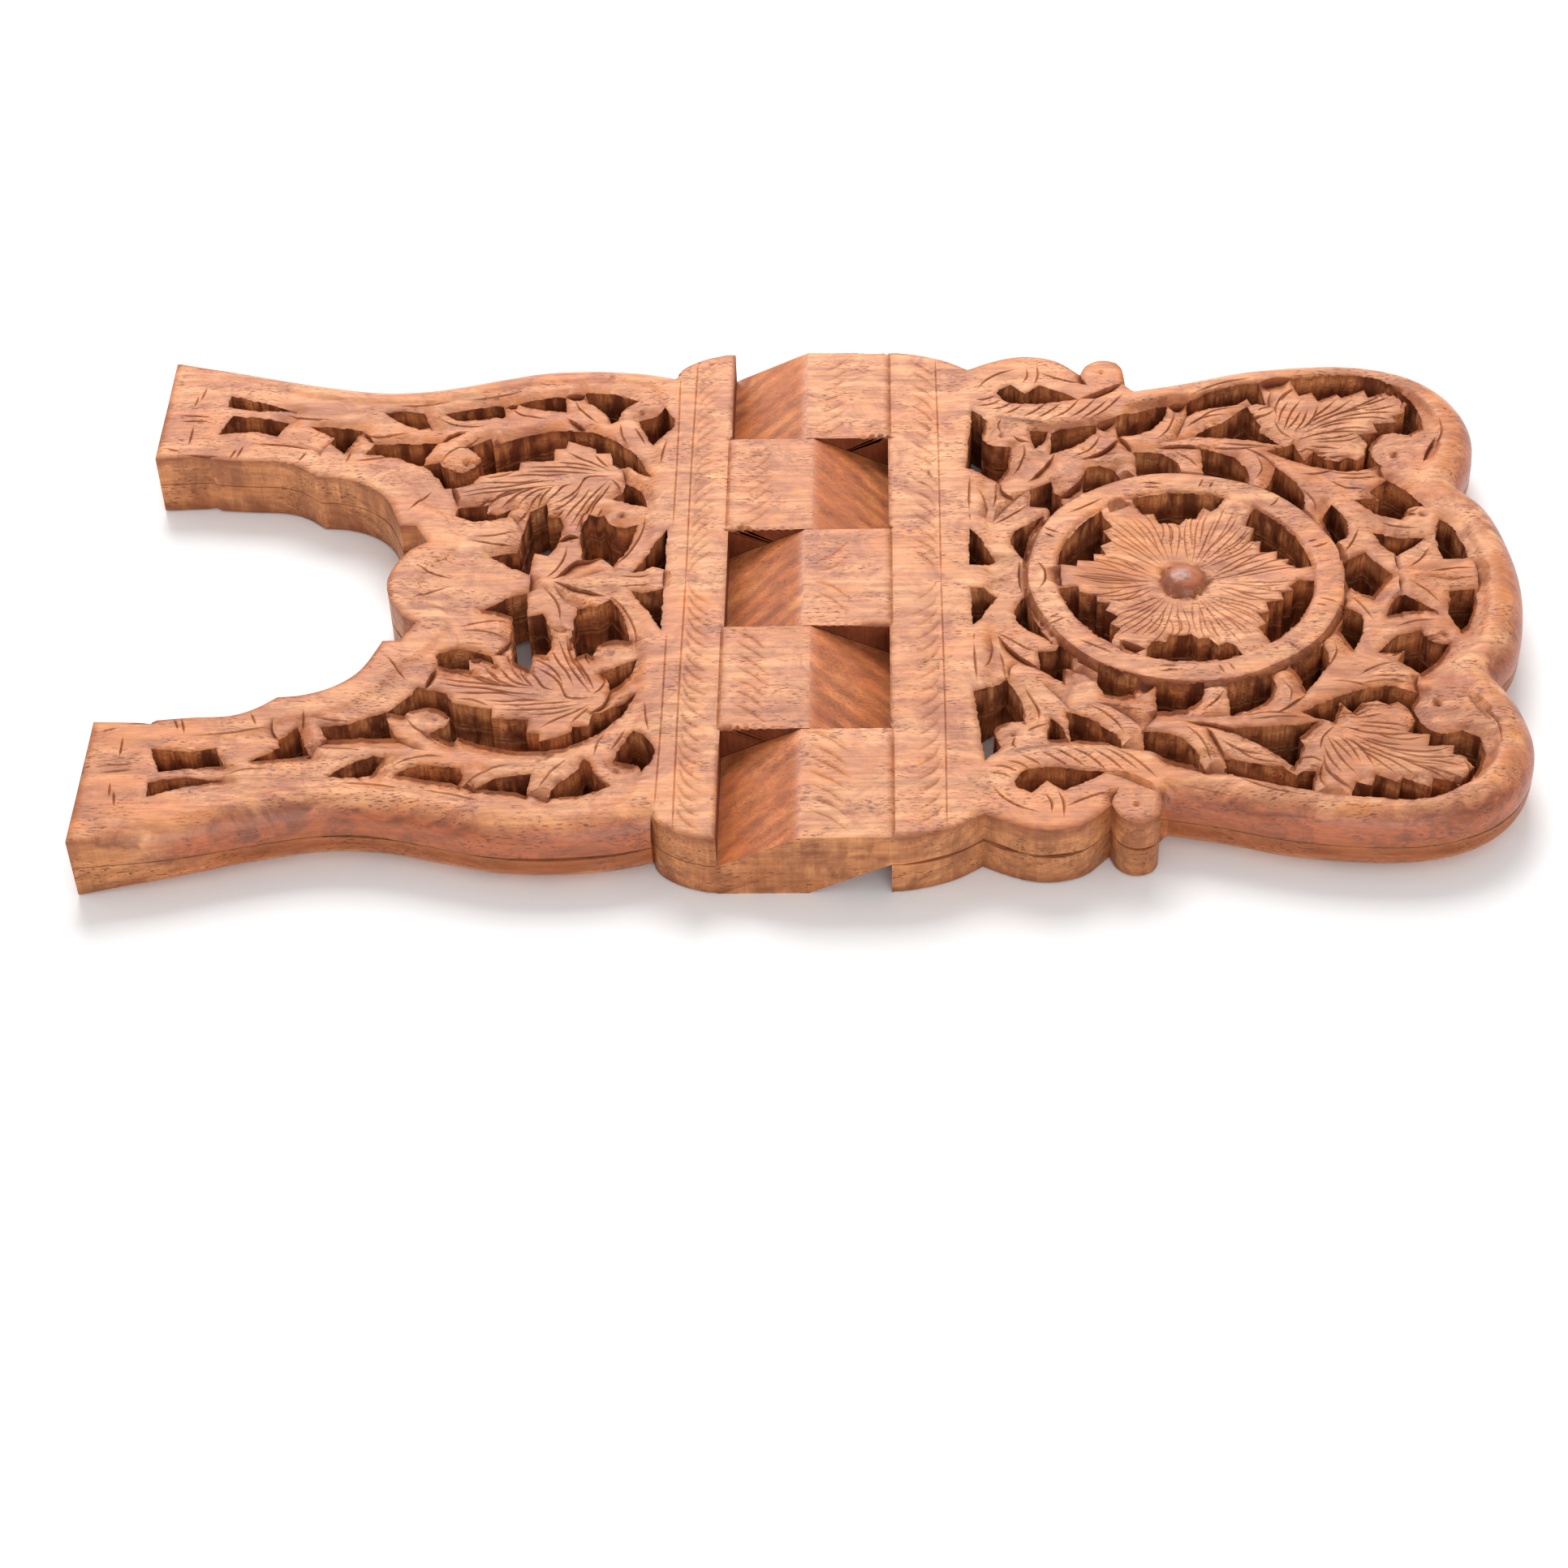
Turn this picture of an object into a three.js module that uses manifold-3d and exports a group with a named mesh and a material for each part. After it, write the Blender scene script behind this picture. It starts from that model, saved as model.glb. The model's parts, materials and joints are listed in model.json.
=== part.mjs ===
// Folding book stand carved from one plank: two leaves, linked through each other by
// five knuckles that are part of the wood, with no pin and no hardware.
// Millimetres, +Z up. The stand lies folded: legs towards -X, book rest towards +X.
import * as THREE from 'three';
import * as BufferGeometryUtils from 'three/addons/utils/BufferGeometryUtils.js';
import Module from 'manifold-3d';

const wasm = await Module();
wasm.setup();

// Driving dimensions
const PLY = 10.6; // thickness of one leaf, half of the plank
const SAW_GAP = 0.3; // width of the cuts that part the two leaves
const KNUCKLE_COUNT = 5;
const KNUCKLE_LENGTH = 42; // each, along the hinge line
const POCKET = 23.4; // from the hinge line to the end of a leaf, which stops the fold
const CROWN = 1; // the top of a slanted face stands this far past the hinge line
const FOOT_END = -197; // x of the feet
const HEAD_TIP = 204; // x of the far edge of the book rest
const RING_CENTRE = 108; // x of the round flower panel
const RING_INNER = 36.6; // radius of the opening round the flower
const CURVE_STEPS = 2; // straight pieces between two points of a curve

const HALF_WIDTH = (KNUCKLE_COUNT * KNUCKLE_LENGTH) / 2;
const LAP = 1; // how deep a knuckle runs into the leaf that it is joined to
const HALF_GAP = 0.5 * SAW_GAP;
const ARC_STEP = 7; // degrees of the ring between two points of an opening's outline
const WELD = 1e-4; // corners nearer than this are one corner

// Outlines are lists of [x, v]: x from the hinge line, v from the middle of the stand.
// A bare pair is a sharp corner, and a pair marked SOFT lies on a smooth curve.
const SOFT = true;

// Outer edge of the book rest, from its hinge block to the head, one half.
const REST_EDGE = [
  [POCKET, HALF_WIDTH], [26, HALF_WIDTH], [33, 103.6, SOFT], [41, 100.6, SOFT], [48, 96],
  [54, 99.2, SOFT], [61, 101.8, SOFT], [68, 102.1, SOFT], [75.5, 99.6, SOFT], [82.2, 92.8],
  [84.4, 97.6, SOFT], [89, 100, SOFT], [94.4, 97.6, SOFT], [95.8, 88.6],
  [112, 92.2, SOFT], [130, 97.2, SOFT], [148, 99.7, SOFT], [166, 99.6, SOFT],
  [182, 94.4, SOFT], [193, 84, SOFT], [198.4, 69, SOFT], [196.6, 53, SOFT], [191.5, 41],
  [198.2, 32, SOFT], [202.2, 18, SOFT], [HEAD_TIP, 0, SOFT],
];

// Outer edge of a leg, from the hinge block to the foot.
const LEG_OUTER_EDGE = [
  [-POCKET, HALF_WIDTH], [-26, HALF_WIDTH], [-33, 102.6, SOFT], [-38.6, 98.8, SOFT], [-41, 95],
  [-41.2, 98], [-52, 100.8, SOFT], [-68, 102.2, SOFT], [-84, 101.2, SOFT],
  [-100, 97.2, SOFT], [-116, 93.4, SOFT], [-132, 92.8, SOFT], [-150, 96.2, SOFT],
  [-172, 101.2, SOFT], [FOOT_END, 104],
];

// Inner edge of a leg, from the foot round the arch to the leaf at its crown.
const ARCH_EDGE = [
  [FOOT_END, 57.4], [-181, 58], [-179.4, 56.9], [-170, 56, SOFT], [-160, 55.4, SOFT],
  [-153, 52.8, SOFT], [-147, 48], [-140, 47.2, SOFT], [-132, 44, SOFT], [-125, 37.2, SOFT],
  [-120, 25], [-115.2, 25], [-111.2, 17.6], [-115.6, 14.4],
  [-119.4, 8, SOFT], [-121.2, 0, SOFT],
];

// Openings in one half of a leg: between the long stems at the foot, along the vine
// under the outer edge, round the vine leaf, and beside the bud at the hinge.
const LEG_OPENINGS = [
  [[-179.3, 68.5], [-169, 69.6], [-161.5, 68], [-158.5, 74.6], [-167, 76.2, SOFT], [-176, 77.6]],
  [[-178.2, 81.8], [-170, 79.9, SOFT], [-158, 80.4], [-167, 83.4, SOFT], [-177.8, 87.2]],
  [[-140.2, 59.5], [-135.6, 70.6], [-143, 72.2, SOFT], [-151.8, 72.8], [-144, 67.5], [-144.8, 64.6]],
  [[-133.8, 59.5], [-125, 57.8, SOFT], [-116.4, 53.6], [-114.8, 58.6, SOFT], [-112.2, 64.3],
    [-121, 64, SOFT], [-131.5, 64.7]],
  [[-129.7, 79], [-125, 74.7, SOFT], [-118, 71], [-115, 71.8], [-117.8, 78.8], [-123, 79.7, SOFT]],
  [[-111.5, 78.4], [-107.4, 75.5, SOFT], [-101, 75.2, SOFT], [-94, 76.2], [-92.8, 78.2],
    [-93.8, 82.3], [-102, 80.9, SOFT]],
  [[-89.5, 83.8], [-84, 80.4, SOFT], [-74.2, 78.5], [-75, 86.5], [-82, 85.2, SOFT]],
  [[-60.3, 72.8], [-58.4, 74.2], [-56.6, 79.6, SOFT], [-52.5, 83.6], [-60, 86.9, SOFT],
    [-69, 88.2], [-67.6, 83.4, SOFT], [-62.6, 78, SOFT]],
  [[-47.2, 62], [-43, 66.6, SOFT], [-40.9, 72, SOFT], [-44.2, 79.3], [-46, 76, SOFT],
    [-52, 73.8], [-50.3, 68, SOFT]],
  [[-108.5, 43.2], [-111, 48, SOFT], [-116, 53.8], [-111, 55.2], [-109.8, 53], [-103.5, 51.3, SOFT],
    [-98.4, 56.6, SOFT], [-103.2, 62], [-96.4, 66.3], [-95.4, 63.4], [-86, 67.5, SOFT],
    [-74, 69.9, SOFT], [-62, 66.6, SOFT], [-52, 57.4, SOFT], [-47.2, 47], [-53, 51.7],
    [-59, 53.8], [-59.8, 59.3], [-64.2, 59.5], [-64.4, 61.4], [-73, 65.4], [-73.4, 62],
    [-76.8, 61.8], [-76.7, 56.4], [-86.8, 55.6], [-87, 52], [-93, 50.8], [-98.6, 49.2],
    [-100, 46], [-104, 44.4]],
  [[-104, 30.3], [-97.6, 27.8, SOFT], [-89, 30.2], [-87.8, 33.8], [-91.8, 31], [-95, 32],
    [-94.6, 36], [-103.6, 34.4]],
  [[-92.3, 11.6], [-87, 7.4, SOFT], [-80.6, 4], [-79.8, 14], [-75.6, 12.6], [-73, 18.6, SOFT],
    [-72, 27], [-73.3, 30], [-77, 29.6], [-77.5, 36], [-82.2, 32.6], [-83.4, 24, SOFT],
    [-84.2, 13.8]],
  [[-65.7, 10.8], [-60, 10.3], [-56.4, 7], [-52.4, 15, SOFT], [-50, 25.5], [-54.5, 24.3, SOFT],
    [-58.4, 26.6, SOFT], [-60.3, 31], [-62, 29.6], [-64.8, 31], [-66.6, 22, SOFT]],
  [[-58.2, 37.8], [-52.3, 35.3], [-47.6, 33.2], [-49.6, 40.2, SOFT], [-54.6, 45], [-55.6, 41],
    [-57.4, 39]],
  [[-50.6, 4], [-44, 5.4], [-41.2, 4], [-41.2, 22], [-45.6, 13.4, SOFT]],
];

// Openings in one half of the book rest, outside the ring: the scroll's eye, the vine
// from the hinge round the outer panel, the vine leaf in the lobe, and the ring's own vine.
const REST_OPENINGS = [
  [[56.6, 83.9], [59.8, 79.5, SOFT], [66, 78.7, SOFT], [73, 79.4, SOFT], [81, 80.8],
    [77.5, 83.5, SOFT], [69.5, 87.6], [65.2, 83.7], [60.9, 88.4], [57.4, 86]],
  [[46.4, 48.5], [51, 46.4, SOFT], [55.5, 43], [58.8, 49.4, SOFT], [60, 59.6], [55, 59.9],
    [51.6, 63.6, SOFT], [53.3, 71], [48.8, 76], [47.6, 62, SOFT]],
  [[67.3, 58.6], [70, 61.6, SOFT], [71.4, 66.6], [66, 67.1], [66.4, 62.6]],
  [[71.6, 55.8], [79, 59.4, SOFT], [86, 66.4], [85.9, 69.8], [79, 68, SOFT], [72.4, 66.9]],
  [[92.3, 63.9], [100.4, 65.7, SOFT], [105.4, 70.6, SOFT], [108.2, 79.2], [100, 75.8, SOFT], [92, 72.3]],
  [[113.7, 74.2], [122, 76.9, SOFT], [129, 78.4], [132.3, 81.5], [133.5, 79.5], [137.7, 79.2],
    [136.2, 88], [125, 85.4, SOFT], [113.7, 80.3]],
  [[114.5, 63.6], [122, 62.5, SOFT], [132, 61.7, SOFT], [140.3, 59.8], [134.6, 66], [135.6, 68.6],
    [132, 78], [125, 71, SOFT]],
  [[136, 56.5], [146, 50.6, SOFT], [156, 46.9, SOFT], [163, 47, SOFT], [168.8, 49.6],
    [166.6, 55, SOFT], [168.2, 61, SOFT], [172.6, 64.8, SOFT], [179, 63.8], [183.4, 67],
    [183.2, 74, SOFT], [178.4, 84, SOFT], [170, 90.2, SOFT], [160, 91.5, SOFT], [146, 90.1],
    [148.2, 83.4], [152.2, 85], [153.6, 80.6], [159.6, 84.2], [160.8, 82], [168, 85.8],
    [168.9, 82.2], [175.5, 84.5], [180.2, 78.6], [178.6, 74.4], [175.3, 73], [176, 69.7],
    [169, 69.8], [170, 65.4], [164.2, 64.4], [166.3, 60], [165.2, 55], [162.8, 52.2],
    [160, 53.6], [157, 52], [153, 52.6], [150, 56.5], [146.8, 52.4], [144.4, 60.4]],
  [[46.4, 4.9], [50.3, 4.8], [54, 7.7], [52, 12], [49.6, 17.4, SOFT], [46.8, 21]],
  [[62, 8.2], [59.4, 12.4, SOFT], [59.2, 18.8, SOFT], [63, 23], [68.6, 27.2], [64.4, 18.6, SOFT]],
  [[64.8, 31.6], [69.8, 31], [70.8, 28.4], [73.8, 32.5], [73.8, 37.8], [71.6, 38.6], [71.5, 43.5],
    [65.2, 39.2]],
  [[81.4, 37], [86.4, 40, SOFT], [92.4, 42.5], [90.6, 48.6], [86, 50], [82.3, 49.2], [80.8, 45]],
  [[97, 44.3], [103, 45.4, SOFT], [110, 45.4], [109.4, 51, SOFT], [104.6, 55.7], [96.5, 56.2]],
  [[116.5, 45.2], [122.6, 43.2, SOFT], [128.8, 40.8], [129.4, 47, SOFT], [125.4, 53.6, SOFT],
    [116.4, 58]],
  [[144.5, 29], [145.2, 37.6, SOFT], [138, 48.8], [135.6, 40.6, SOFT], [134, 38.5],
    [139.6, 34, SOFT]],
  [[152, 14], [156.2, 17, SOFT], [156, 25, SOFT], [152.8, 31.5], [149.2, 24], [151, 18.6, SOFT]],
  [[169.4, 8.3], [173.6, 11.8, SOFT], [178, 15.8], [171, 15.9, SOFT], [163.3, 18], [165.8, 12, SOFT]],
  [[182.4, 7], [189.4, 6.8], [188.6, 13, SOFT], [186.3, 20.8], [183.3, 24], [181.3, 17.5]],
  [[172.2, 24], [165.4, 26.4, SOFT], [159.5, 33], [163, 33.6], [166.8, 32.6], [164.5, 36.6],
    [170, 42], [175, 37.4, SOFT], [179.5, 30], [175, 29, SOFT]],
];

// Openings that cross the middle of the book rest, as half outlines that are mirrored.
const REST_MIDDLE_OPENINGS = [
  [[153.4, 4.5], [156.5, 7.4, SOFT], [160.3, 9.6], [163.4, 4.6, SOFT], [166.8, 0]],
];

// The three gaps between the ring and the flower on one side of the middle: the ring's
// arc from one angle to the other, in degrees, then the petals' edge back again.
const FLOWER_GAPS = [
  { from: 172, to: 128, petals: [[86, 26.6], [88.4, 22], [85.6, 20], [88, 16.4], [84.6, 14],
    [86, 10.6], [82.4, 10.4], [82.4, 7.6], [77.6, 7], [77.2, 4.4]] },
  { from: 111, to: 68, petals: [[119.4, 29.6], [117.4, 28.2], [115.3, 30], [112.8, 25.6],
    [110, 26], [108, 23.5], [106, 24.4], [102, 24.2], [100.8, 27.8], [97.4, 27.6], [95.4, 30.2]] },
  { from: 53, to: 5, petals: [[140.4, 2.6], [137.2, 5], [138.2, 6.8], [134.8, 7.4], [135.2, 10.6],
    [130.2, 10.8], [130.8, 15.2], [127.6, 15.6], [129.4, 20.6], [127, 22], [128.6, 26]] },
];

const mirrored = (points) => points.map(([x, v, soft]) => [x, -v, soft]);

// A closed line through the points, drawn on a Shape or a Path.
function draw(path, points) {
  const start = points[0];
  path.moveTo(start[0], start[1]);
  let curve = [];
  for (const [x, v, soft] of [...points.slice(1), start]) {
    curve.push(new THREE.Vector2(x, v));
    if (soft) continue;
    if (curve.length === 1) path.lineTo(x, v);
    else path.splineThru(curve);
    curve = [];
  }
  return path;
}

// A half outline and its mirror image as one closed list. A point on the middle line,
// where v is 0, isn't repeated.
function bothHalves(half) {
  const other = mirrored(half).reverse();
  return [...half, ...other.filter(([, v]) => v !== 0)];
}

function opening(points) {
  return draw(new THREE.Path(), points);
}

function flowerGap({ from, to, petals }) {
  const steps = Math.round(Math.abs(from - to) / ARC_STEP);
  const arc = [];
  for (let step = 0; step <= steps; step += 1) {
    const angle = THREE.MathUtils.degToRad(from + ((to - from) * step) / steps);
    arc.push([RING_CENTRE + RING_INNER * Math.cos(angle), RING_INNER * Math.sin(angle)]);
  }
  return [...arc, ...petals];
}

// Plan of the book rest, from the end of the leaf at the hinge to the head. Both plans
// run anticlockwise round their outer edge.
function restPlan() {
  const shape = draw(new THREE.Shape(), bothHalves(mirrored(REST_EDGE)));
  for (const points of [...REST_OPENINGS, ...FLOWER_GAPS.map(flowerGap)]) {
    shape.holes.push(opening(points), opening(mirrored(points)));
  }
  for (const half of REST_MIDDLE_OPENINGS) shape.holes.push(opening(bothHalves(half)));
  return shape;
}

// Plan of the two legs, joined by the arch between them.
function legPlan() {
  const shape = draw(new THREE.Shape(), bothHalves([...LEG_OUTER_EDGE, ...ARCH_EDGE]));
  for (const points of LEG_OPENINGS) shape.holes.push(opening(points), opening(mirrored(points)));
  return shape;
}

// A boolean solid from a three.js geometry.
function solid(geometry) {
  geometry.deleteAttribute('normal');
  geometry.deleteAttribute('uv');
  const merged = BufferGeometryUtils.mergeVertices(geometry, WELD);
  const mesh = new wasm.Mesh({
    numProp: 3,
    vertProperties: merged.attributes.position.array,
    triVerts: new Uint32Array(merged.index.array),
  });
  return new wasm.Manifold(mesh);
}

// One ply of a leaf. side is 1 for the upper ply and -1 for the lower one.
function ply(plan, side) {
  const depth = PLY - HALF_GAP;
  const options = { depth, bevelEnabled: false, curveSegments: CURVE_STEPS };
  const geometry = new THREE.ExtrudeGeometry(plan, options);
  geometry.translate(0, 0, side > 0 ? HALF_GAP : -PLY);
  return solid(geometry);
}

// One knuckle: a bar across the hinge line that joins a leaf's lower left ply to its
// upper right ply. Its two slanted faces make room for the other leaf to swing.
function knuckle(index, side) {
  const outline = [
    [-POCKET - LAP, -PLY], [-POCKET - LAP, -HALF_GAP], [-POCKET, -HALF_GAP],
    [-CROWN, PLY], [POCKET + LAP, PLY], [POCKET + LAP, HALF_GAP], [POCKET, HALF_GAP],
    [CROWN, -PLY],
  ];
  const section = draw(new THREE.Shape(), outline.map(([x, z]) => [x, side * z]));
  const lowGap = index > 0 ? HALF_GAP : 0;
  const highGap = index < KNUCKLE_COUNT - 1 ? HALF_GAP : 0;
  const low = -HALF_WIDTH + index * KNUCKLE_LENGTH + lowGap;
  const high = -HALF_WIDTH + (index + 1) * KNUCKLE_LENGTH - highGap;
  const geometry = new THREE.ExtrudeGeometry(section, { depth: high - low, bevelEnabled: false });
  geometry.rotateX(Math.PI / 2);
  geometry.translate(0, high, 0);
  return solid(geometry);
}

// One leaf: legs, knuckles and book rest in one piece. side is 1 where the rest is the
// upper ply and the legs the lower one, and first is the number of its first knuckle.
function leaf(name, material, side, first) {
  let body = ply(restPlan(), side).add(ply(legPlan(), -side));
  for (let index = first; index < KNUCKLE_COUNT; index += 2) body = body.add(knuckle(index, side));
  const { numProp, vertProperties, triVerts } = body.getMesh();
  const geometry = new THREE.BufferGeometry();
  geometry.setAttribute('position', new THREE.BufferAttribute(new Float32Array(vertProperties), numProp));
  geometry.setIndex(new THREE.BufferAttribute(new Uint32Array(triVerts), 1));
  geometry.computeVertexNormals();
  const mesh = new THREE.Mesh(geometry, material);
  mesh.name = name;
  return mesh;
}

// Oiled rosewood, a warm red brown.
function wood(color) {
  return new THREE.MeshStandardMaterial({ color, roughness: 0.55, metalness: 0 });
}

const stand = new THREE.Group();
stand.add(leaf('three_knuckle_leaf', wood(0xb97a4e), 1, 0));
stand.add(leaf('two_knuckle_leaf', wood(0xad6f45), -1, 1));

// The origin is at the middle of the underside.
stand.position.set(-(FOOT_END + HEAD_TIP) / 2, 0, PLY);

export default stand;
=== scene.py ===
import bpy
import json
import math
import numpy as np
from itertools import product
from mathutils import Matrix, Vector
from mathutils.geometry import delaunay_2d_cdt
from mathutils.kdtree import KDTree


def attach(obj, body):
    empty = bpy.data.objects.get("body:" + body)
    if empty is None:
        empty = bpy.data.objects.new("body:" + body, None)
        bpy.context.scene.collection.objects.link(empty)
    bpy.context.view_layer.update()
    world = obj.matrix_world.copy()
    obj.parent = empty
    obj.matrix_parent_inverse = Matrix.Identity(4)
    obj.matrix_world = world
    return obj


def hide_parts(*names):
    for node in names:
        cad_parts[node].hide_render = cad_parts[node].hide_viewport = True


# A folding book stand carved from one plank. Each leaf is rebuilt as one closed carved
# mesh: book rest, knuckles and legs. Plans come from the CAD leaves, in mm from the hinge
# line: x across it, y along it, z from the plank's middle plane.
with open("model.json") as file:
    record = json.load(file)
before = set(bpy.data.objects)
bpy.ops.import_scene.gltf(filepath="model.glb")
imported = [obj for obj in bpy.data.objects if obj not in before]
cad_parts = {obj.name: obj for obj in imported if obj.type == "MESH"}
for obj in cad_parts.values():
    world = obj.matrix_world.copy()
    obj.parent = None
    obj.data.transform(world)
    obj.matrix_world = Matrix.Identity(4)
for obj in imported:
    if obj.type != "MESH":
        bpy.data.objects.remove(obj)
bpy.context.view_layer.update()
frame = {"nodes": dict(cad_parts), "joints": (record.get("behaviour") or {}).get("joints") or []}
rng = np.random.default_rng(11)

MM = 0.001
HINGE = np.array(frame["joints"][0]["pos_m"]) / MM
PLY = HINGE[2]
HALF_GAP = 0.15
POCKET = 23.4
CROWN = 1.0
HALF_WIDTH = 105.0
KNUCKLE_COUNT = 5
KNUCKLE_LENGTH = 42.0
OUTLINE_STEP = 0.8
GRID_STEP = 1.3
CORNER_TURN = math.radians(28)
SAW_RIDGE = 0.13
SAW_FACET = 0.26
WORN_RIM = 0.32
# wall row that carries painted shade deep in the openings
WALL_SHADE_LEVEL = 2.5
CAD_LEAF = "three_knuckle_leaf"
ON_LINE = 0.01
TINY = 1e-9
BATCH = 40
SHARP_ANGLE = math.radians(38)

# ---- plan of the leaves


def unit(values):
    """The values held between 0 and 1."""
    return np.clip(values, 0, 1)


def smooth(t):
    """An even rise from 0 to 1 with soft ends."""
    t = unit(t)
    return t * t * (3 - 2 * t)


def rim_edges(tris):
    """Directed edges that only one triangle uses."""
    edges = set()
    for a, b, c in tris.tolist():
        edges.update(((a, b), (b, c), (c, a)))
    return [e for e in edges if (e[1], e[0]) not in edges]


def chain(edges):
    """Closed loops of corners from directed edges."""
    follow = dict(edges)
    loops = []
    while follow:
        start, at = follow.popitem()
        loop = [start]
        while at != start:
            loop.append(at)
            at = follow.pop(at)
        loops.append(loop)
    return loops


def flat_loops(name, height, side):
    """Closed outlines of the CAD leaf's flat face at that height, on one side of the hinge."""
    mesh = frame["nodes"][name].data
    co = np.empty(len(mesh.vertices) * 3)
    mesh.vertices.foreach_get("co", co)
    keys = np.round(co.reshape(-1, 3) / MM - HINGE, 2)
    unique, inverse = np.unique(keys, axis=0, return_inverse=True)
    inverse = inverse.ravel()
    mesh.calc_loop_triangles()
    tris = np.empty(len(mesh.loop_triangles) * 3, int)
    mesh.loop_triangles.foreach_get("vertices", tris)
    tris = inverse[tris.reshape(-1, 3)]
    corner = unique[tris]
    level = (np.abs(corner[:, :, 2] - height) < 0.03).all(1)
    outside = (side * corner[:, :, 0] > POCKET - 0.1).all(1)
    return [unique[loop][:, :2] for loop in chain(rim_edges(tris[level & outside]))]


def through(points, step):
    """Points about a step apart on a smooth curve through the given ones."""
    p = np.asarray(points, float)
    if len(p) == 2:
        n = max(1, round(float(np.linalg.norm(p[1] - p[0])) / step))
        return p[0] + (p[1] - p[0]) * np.linspace(0, 1, n + 1)[:, None]
    p = np.vstack([2 * p[0] - p[1], p, 2 * p[-1] - p[-2]])
    gaps = np.maximum(np.linalg.norm(np.diff(p, axis=0), axis=1), 1e-6)
    knots = np.concatenate([[0], np.cumsum(np.sqrt(gaps))])
    out = [p[1:2]]
    for i in range(1, len(p) - 2):
        n = max(1, round(float(gaps[i]) / step))
        t = (knots[i] + (knots[i + 1] - knots[i]) * np.arange(1, n + 1) / n)[:, None]
        k = knots[i - 1 : i + 3]
        q = p[i - 1 : i + 3]
        a = [((k[j + 1] - t) * q[j] + (t - k[j]) * q[j + 1]) / (k[j + 1] - k[j]) for j in range(3)]
        b = [((k[j + 2] - t) * a[j] + (t - k[j]) * a[j + 1]) / (k[j + 2] - k[j]) for j in range(2)]
        out.append(((k[2] - t) * b[0] + (t - k[1]) * b[1]) / (k[2] - k[1]))
    return np.vstack(out)


def column(index):
    """Where one knuckle starts and ends along the hinge."""
    low = -HALF_WIDTH + index * KNUCKLE_LENGTH + (HALF_GAP if index else 0)
    high = -HALF_WIDTH + (index + 1) * KNUCKLE_LENGTH
    return low, high - (HALF_GAP if index < KNUCKLE_COUNT - 1 else 0)


HINGE_ROWS = np.concatenate([np.linspace(*column(i), 31) for i in range(KNUCKLE_COUNT)])


def rows_in(low, high):
    """The hinge rows of one knuckle."""
    return HINGE_ROWS[(HINGE_ROWS > low - ON_LINE) & (HINGE_ROWS < high + ON_LINE)]


def smooth_loop(loop):
    """The outline with its sharp corners kept and its curves made smooth."""
    on_line = np.abs(np.abs(loop[:, 0]) - POCKET) < 1e-3
    loop = loop[~(on_line & np.roll(on_line, 1) & np.roll(on_line, -1))]
    into = loop - np.roll(loop, 1, axis=0)
    out = np.roll(loop, -1, axis=0) - loop
    turn = np.arctan2(into[:, 0] * out[:, 1] - into[:, 1] * out[:, 0], (into * out).sum(1))
    corners = np.flatnonzero(np.abs(turn) > CORNER_TURN)
    if len(corners) == 0:
        corners = np.array([0])
    result = []
    for i, first in enumerate(corners):
        last = corners[(i + 1) % len(corners)]
        count = (last - first) % len(loop) or len(loop)
        run = loop[(first + np.arange(count + 1)) % len(loop)]
        if count == 1 and (np.abs(np.abs(run[:, 0]) - POCKET) < 1e-3).all():
            rows = HINGE_ROWS if run[1, 1] > run[0, 1] else HINGE_ROWS[::-1]
            points = np.column_stack([np.full(len(rows), run[0, 0]), rows])
        else:
            points = through(run, OUTLINE_STEP)
            points[:, 1] = np.clip(points[:, 1], -HALF_WIDTH, HALF_WIDTH)
        result.append(points[:-1])
    return np.vstack(result)


def area(loop):
    """Area inside an outline, above 0 where it runs counterclockwise."""
    x, y = loop[:, 0], loop[:, 1]
    return 0.5 * float((x * np.roll(y, -1) - y * np.roll(x, -1)).sum())


def sideways(along):
    """Unit directions to the left of the given ones."""
    along = along / np.maximum(np.linalg.norm(along, axis=1), TINY)[:, None]
    return np.column_stack([-along[:, 1], along[:, 0]])


def offset_rows(loop, inward, distances):
    """Rows of points beside an outline, at those distances."""
    across = sideways(np.roll(loop, -1, axis=0) - np.roll(loop, 1, axis=0)) * inward
    return [loop + across * d for d in distances]


def sawn(loop):
    """An opening's outline with the small upright ridges that a fret saw leaves."""
    across = offset_rows(loop, 1, (1,))[0] - loop
    before, after = np.roll(loop, 1, axis=0) - loop, np.roll(loop, -1, axis=0) - loop
    first, second = np.linalg.norm(before, axis=1), np.linalg.norm(after, axis=1)
    straight = -(before * after).sum(1) / np.maximum(first * second, 1e-9)
    room = unit(np.minimum(first, second) / OUTLINE_STEP) * unit(straight)
    for corner in loop[straight < 0.3]:
        room *= unit(np.linalg.norm(loop - corner, axis=1) / 3.5)
    ridges = np.clip(rng.normal(0, SAW_RIDGE, len(loop)), -2 * SAW_RIDGE, 2 * SAW_RIDGE)
    widths = rng.integers(2, 6, len(loop))
    facets = np.repeat(rng.uniform(-SAW_FACET, SAW_FACET, len(loop)), widths)[: len(loop)]
    return loop + across * ((ridges + facets) * room)[:, None]


def plan(side):
    """Outer edge and openings of the rest (side 1) or the legs (side -1)."""
    loops = [smooth_loop(p) for p in flat_loops(CAD_LEAF, side * HALF_GAP, side)]
    loops.sort(key=lambda p: -abs(area(p)))
    outer = loops[0] if area(loops[0]) > 0 else loops[0][::-1]
    return outer, [sawn(p if area(p) > 0 else p[::-1]) for p in loops[1:]]


# ---- carving
# Each cut is x, v, x, v, ... with v from the middle of the stand, and is also cut in the
# mirrored half. Veins are narrow knife cuts.

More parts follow.
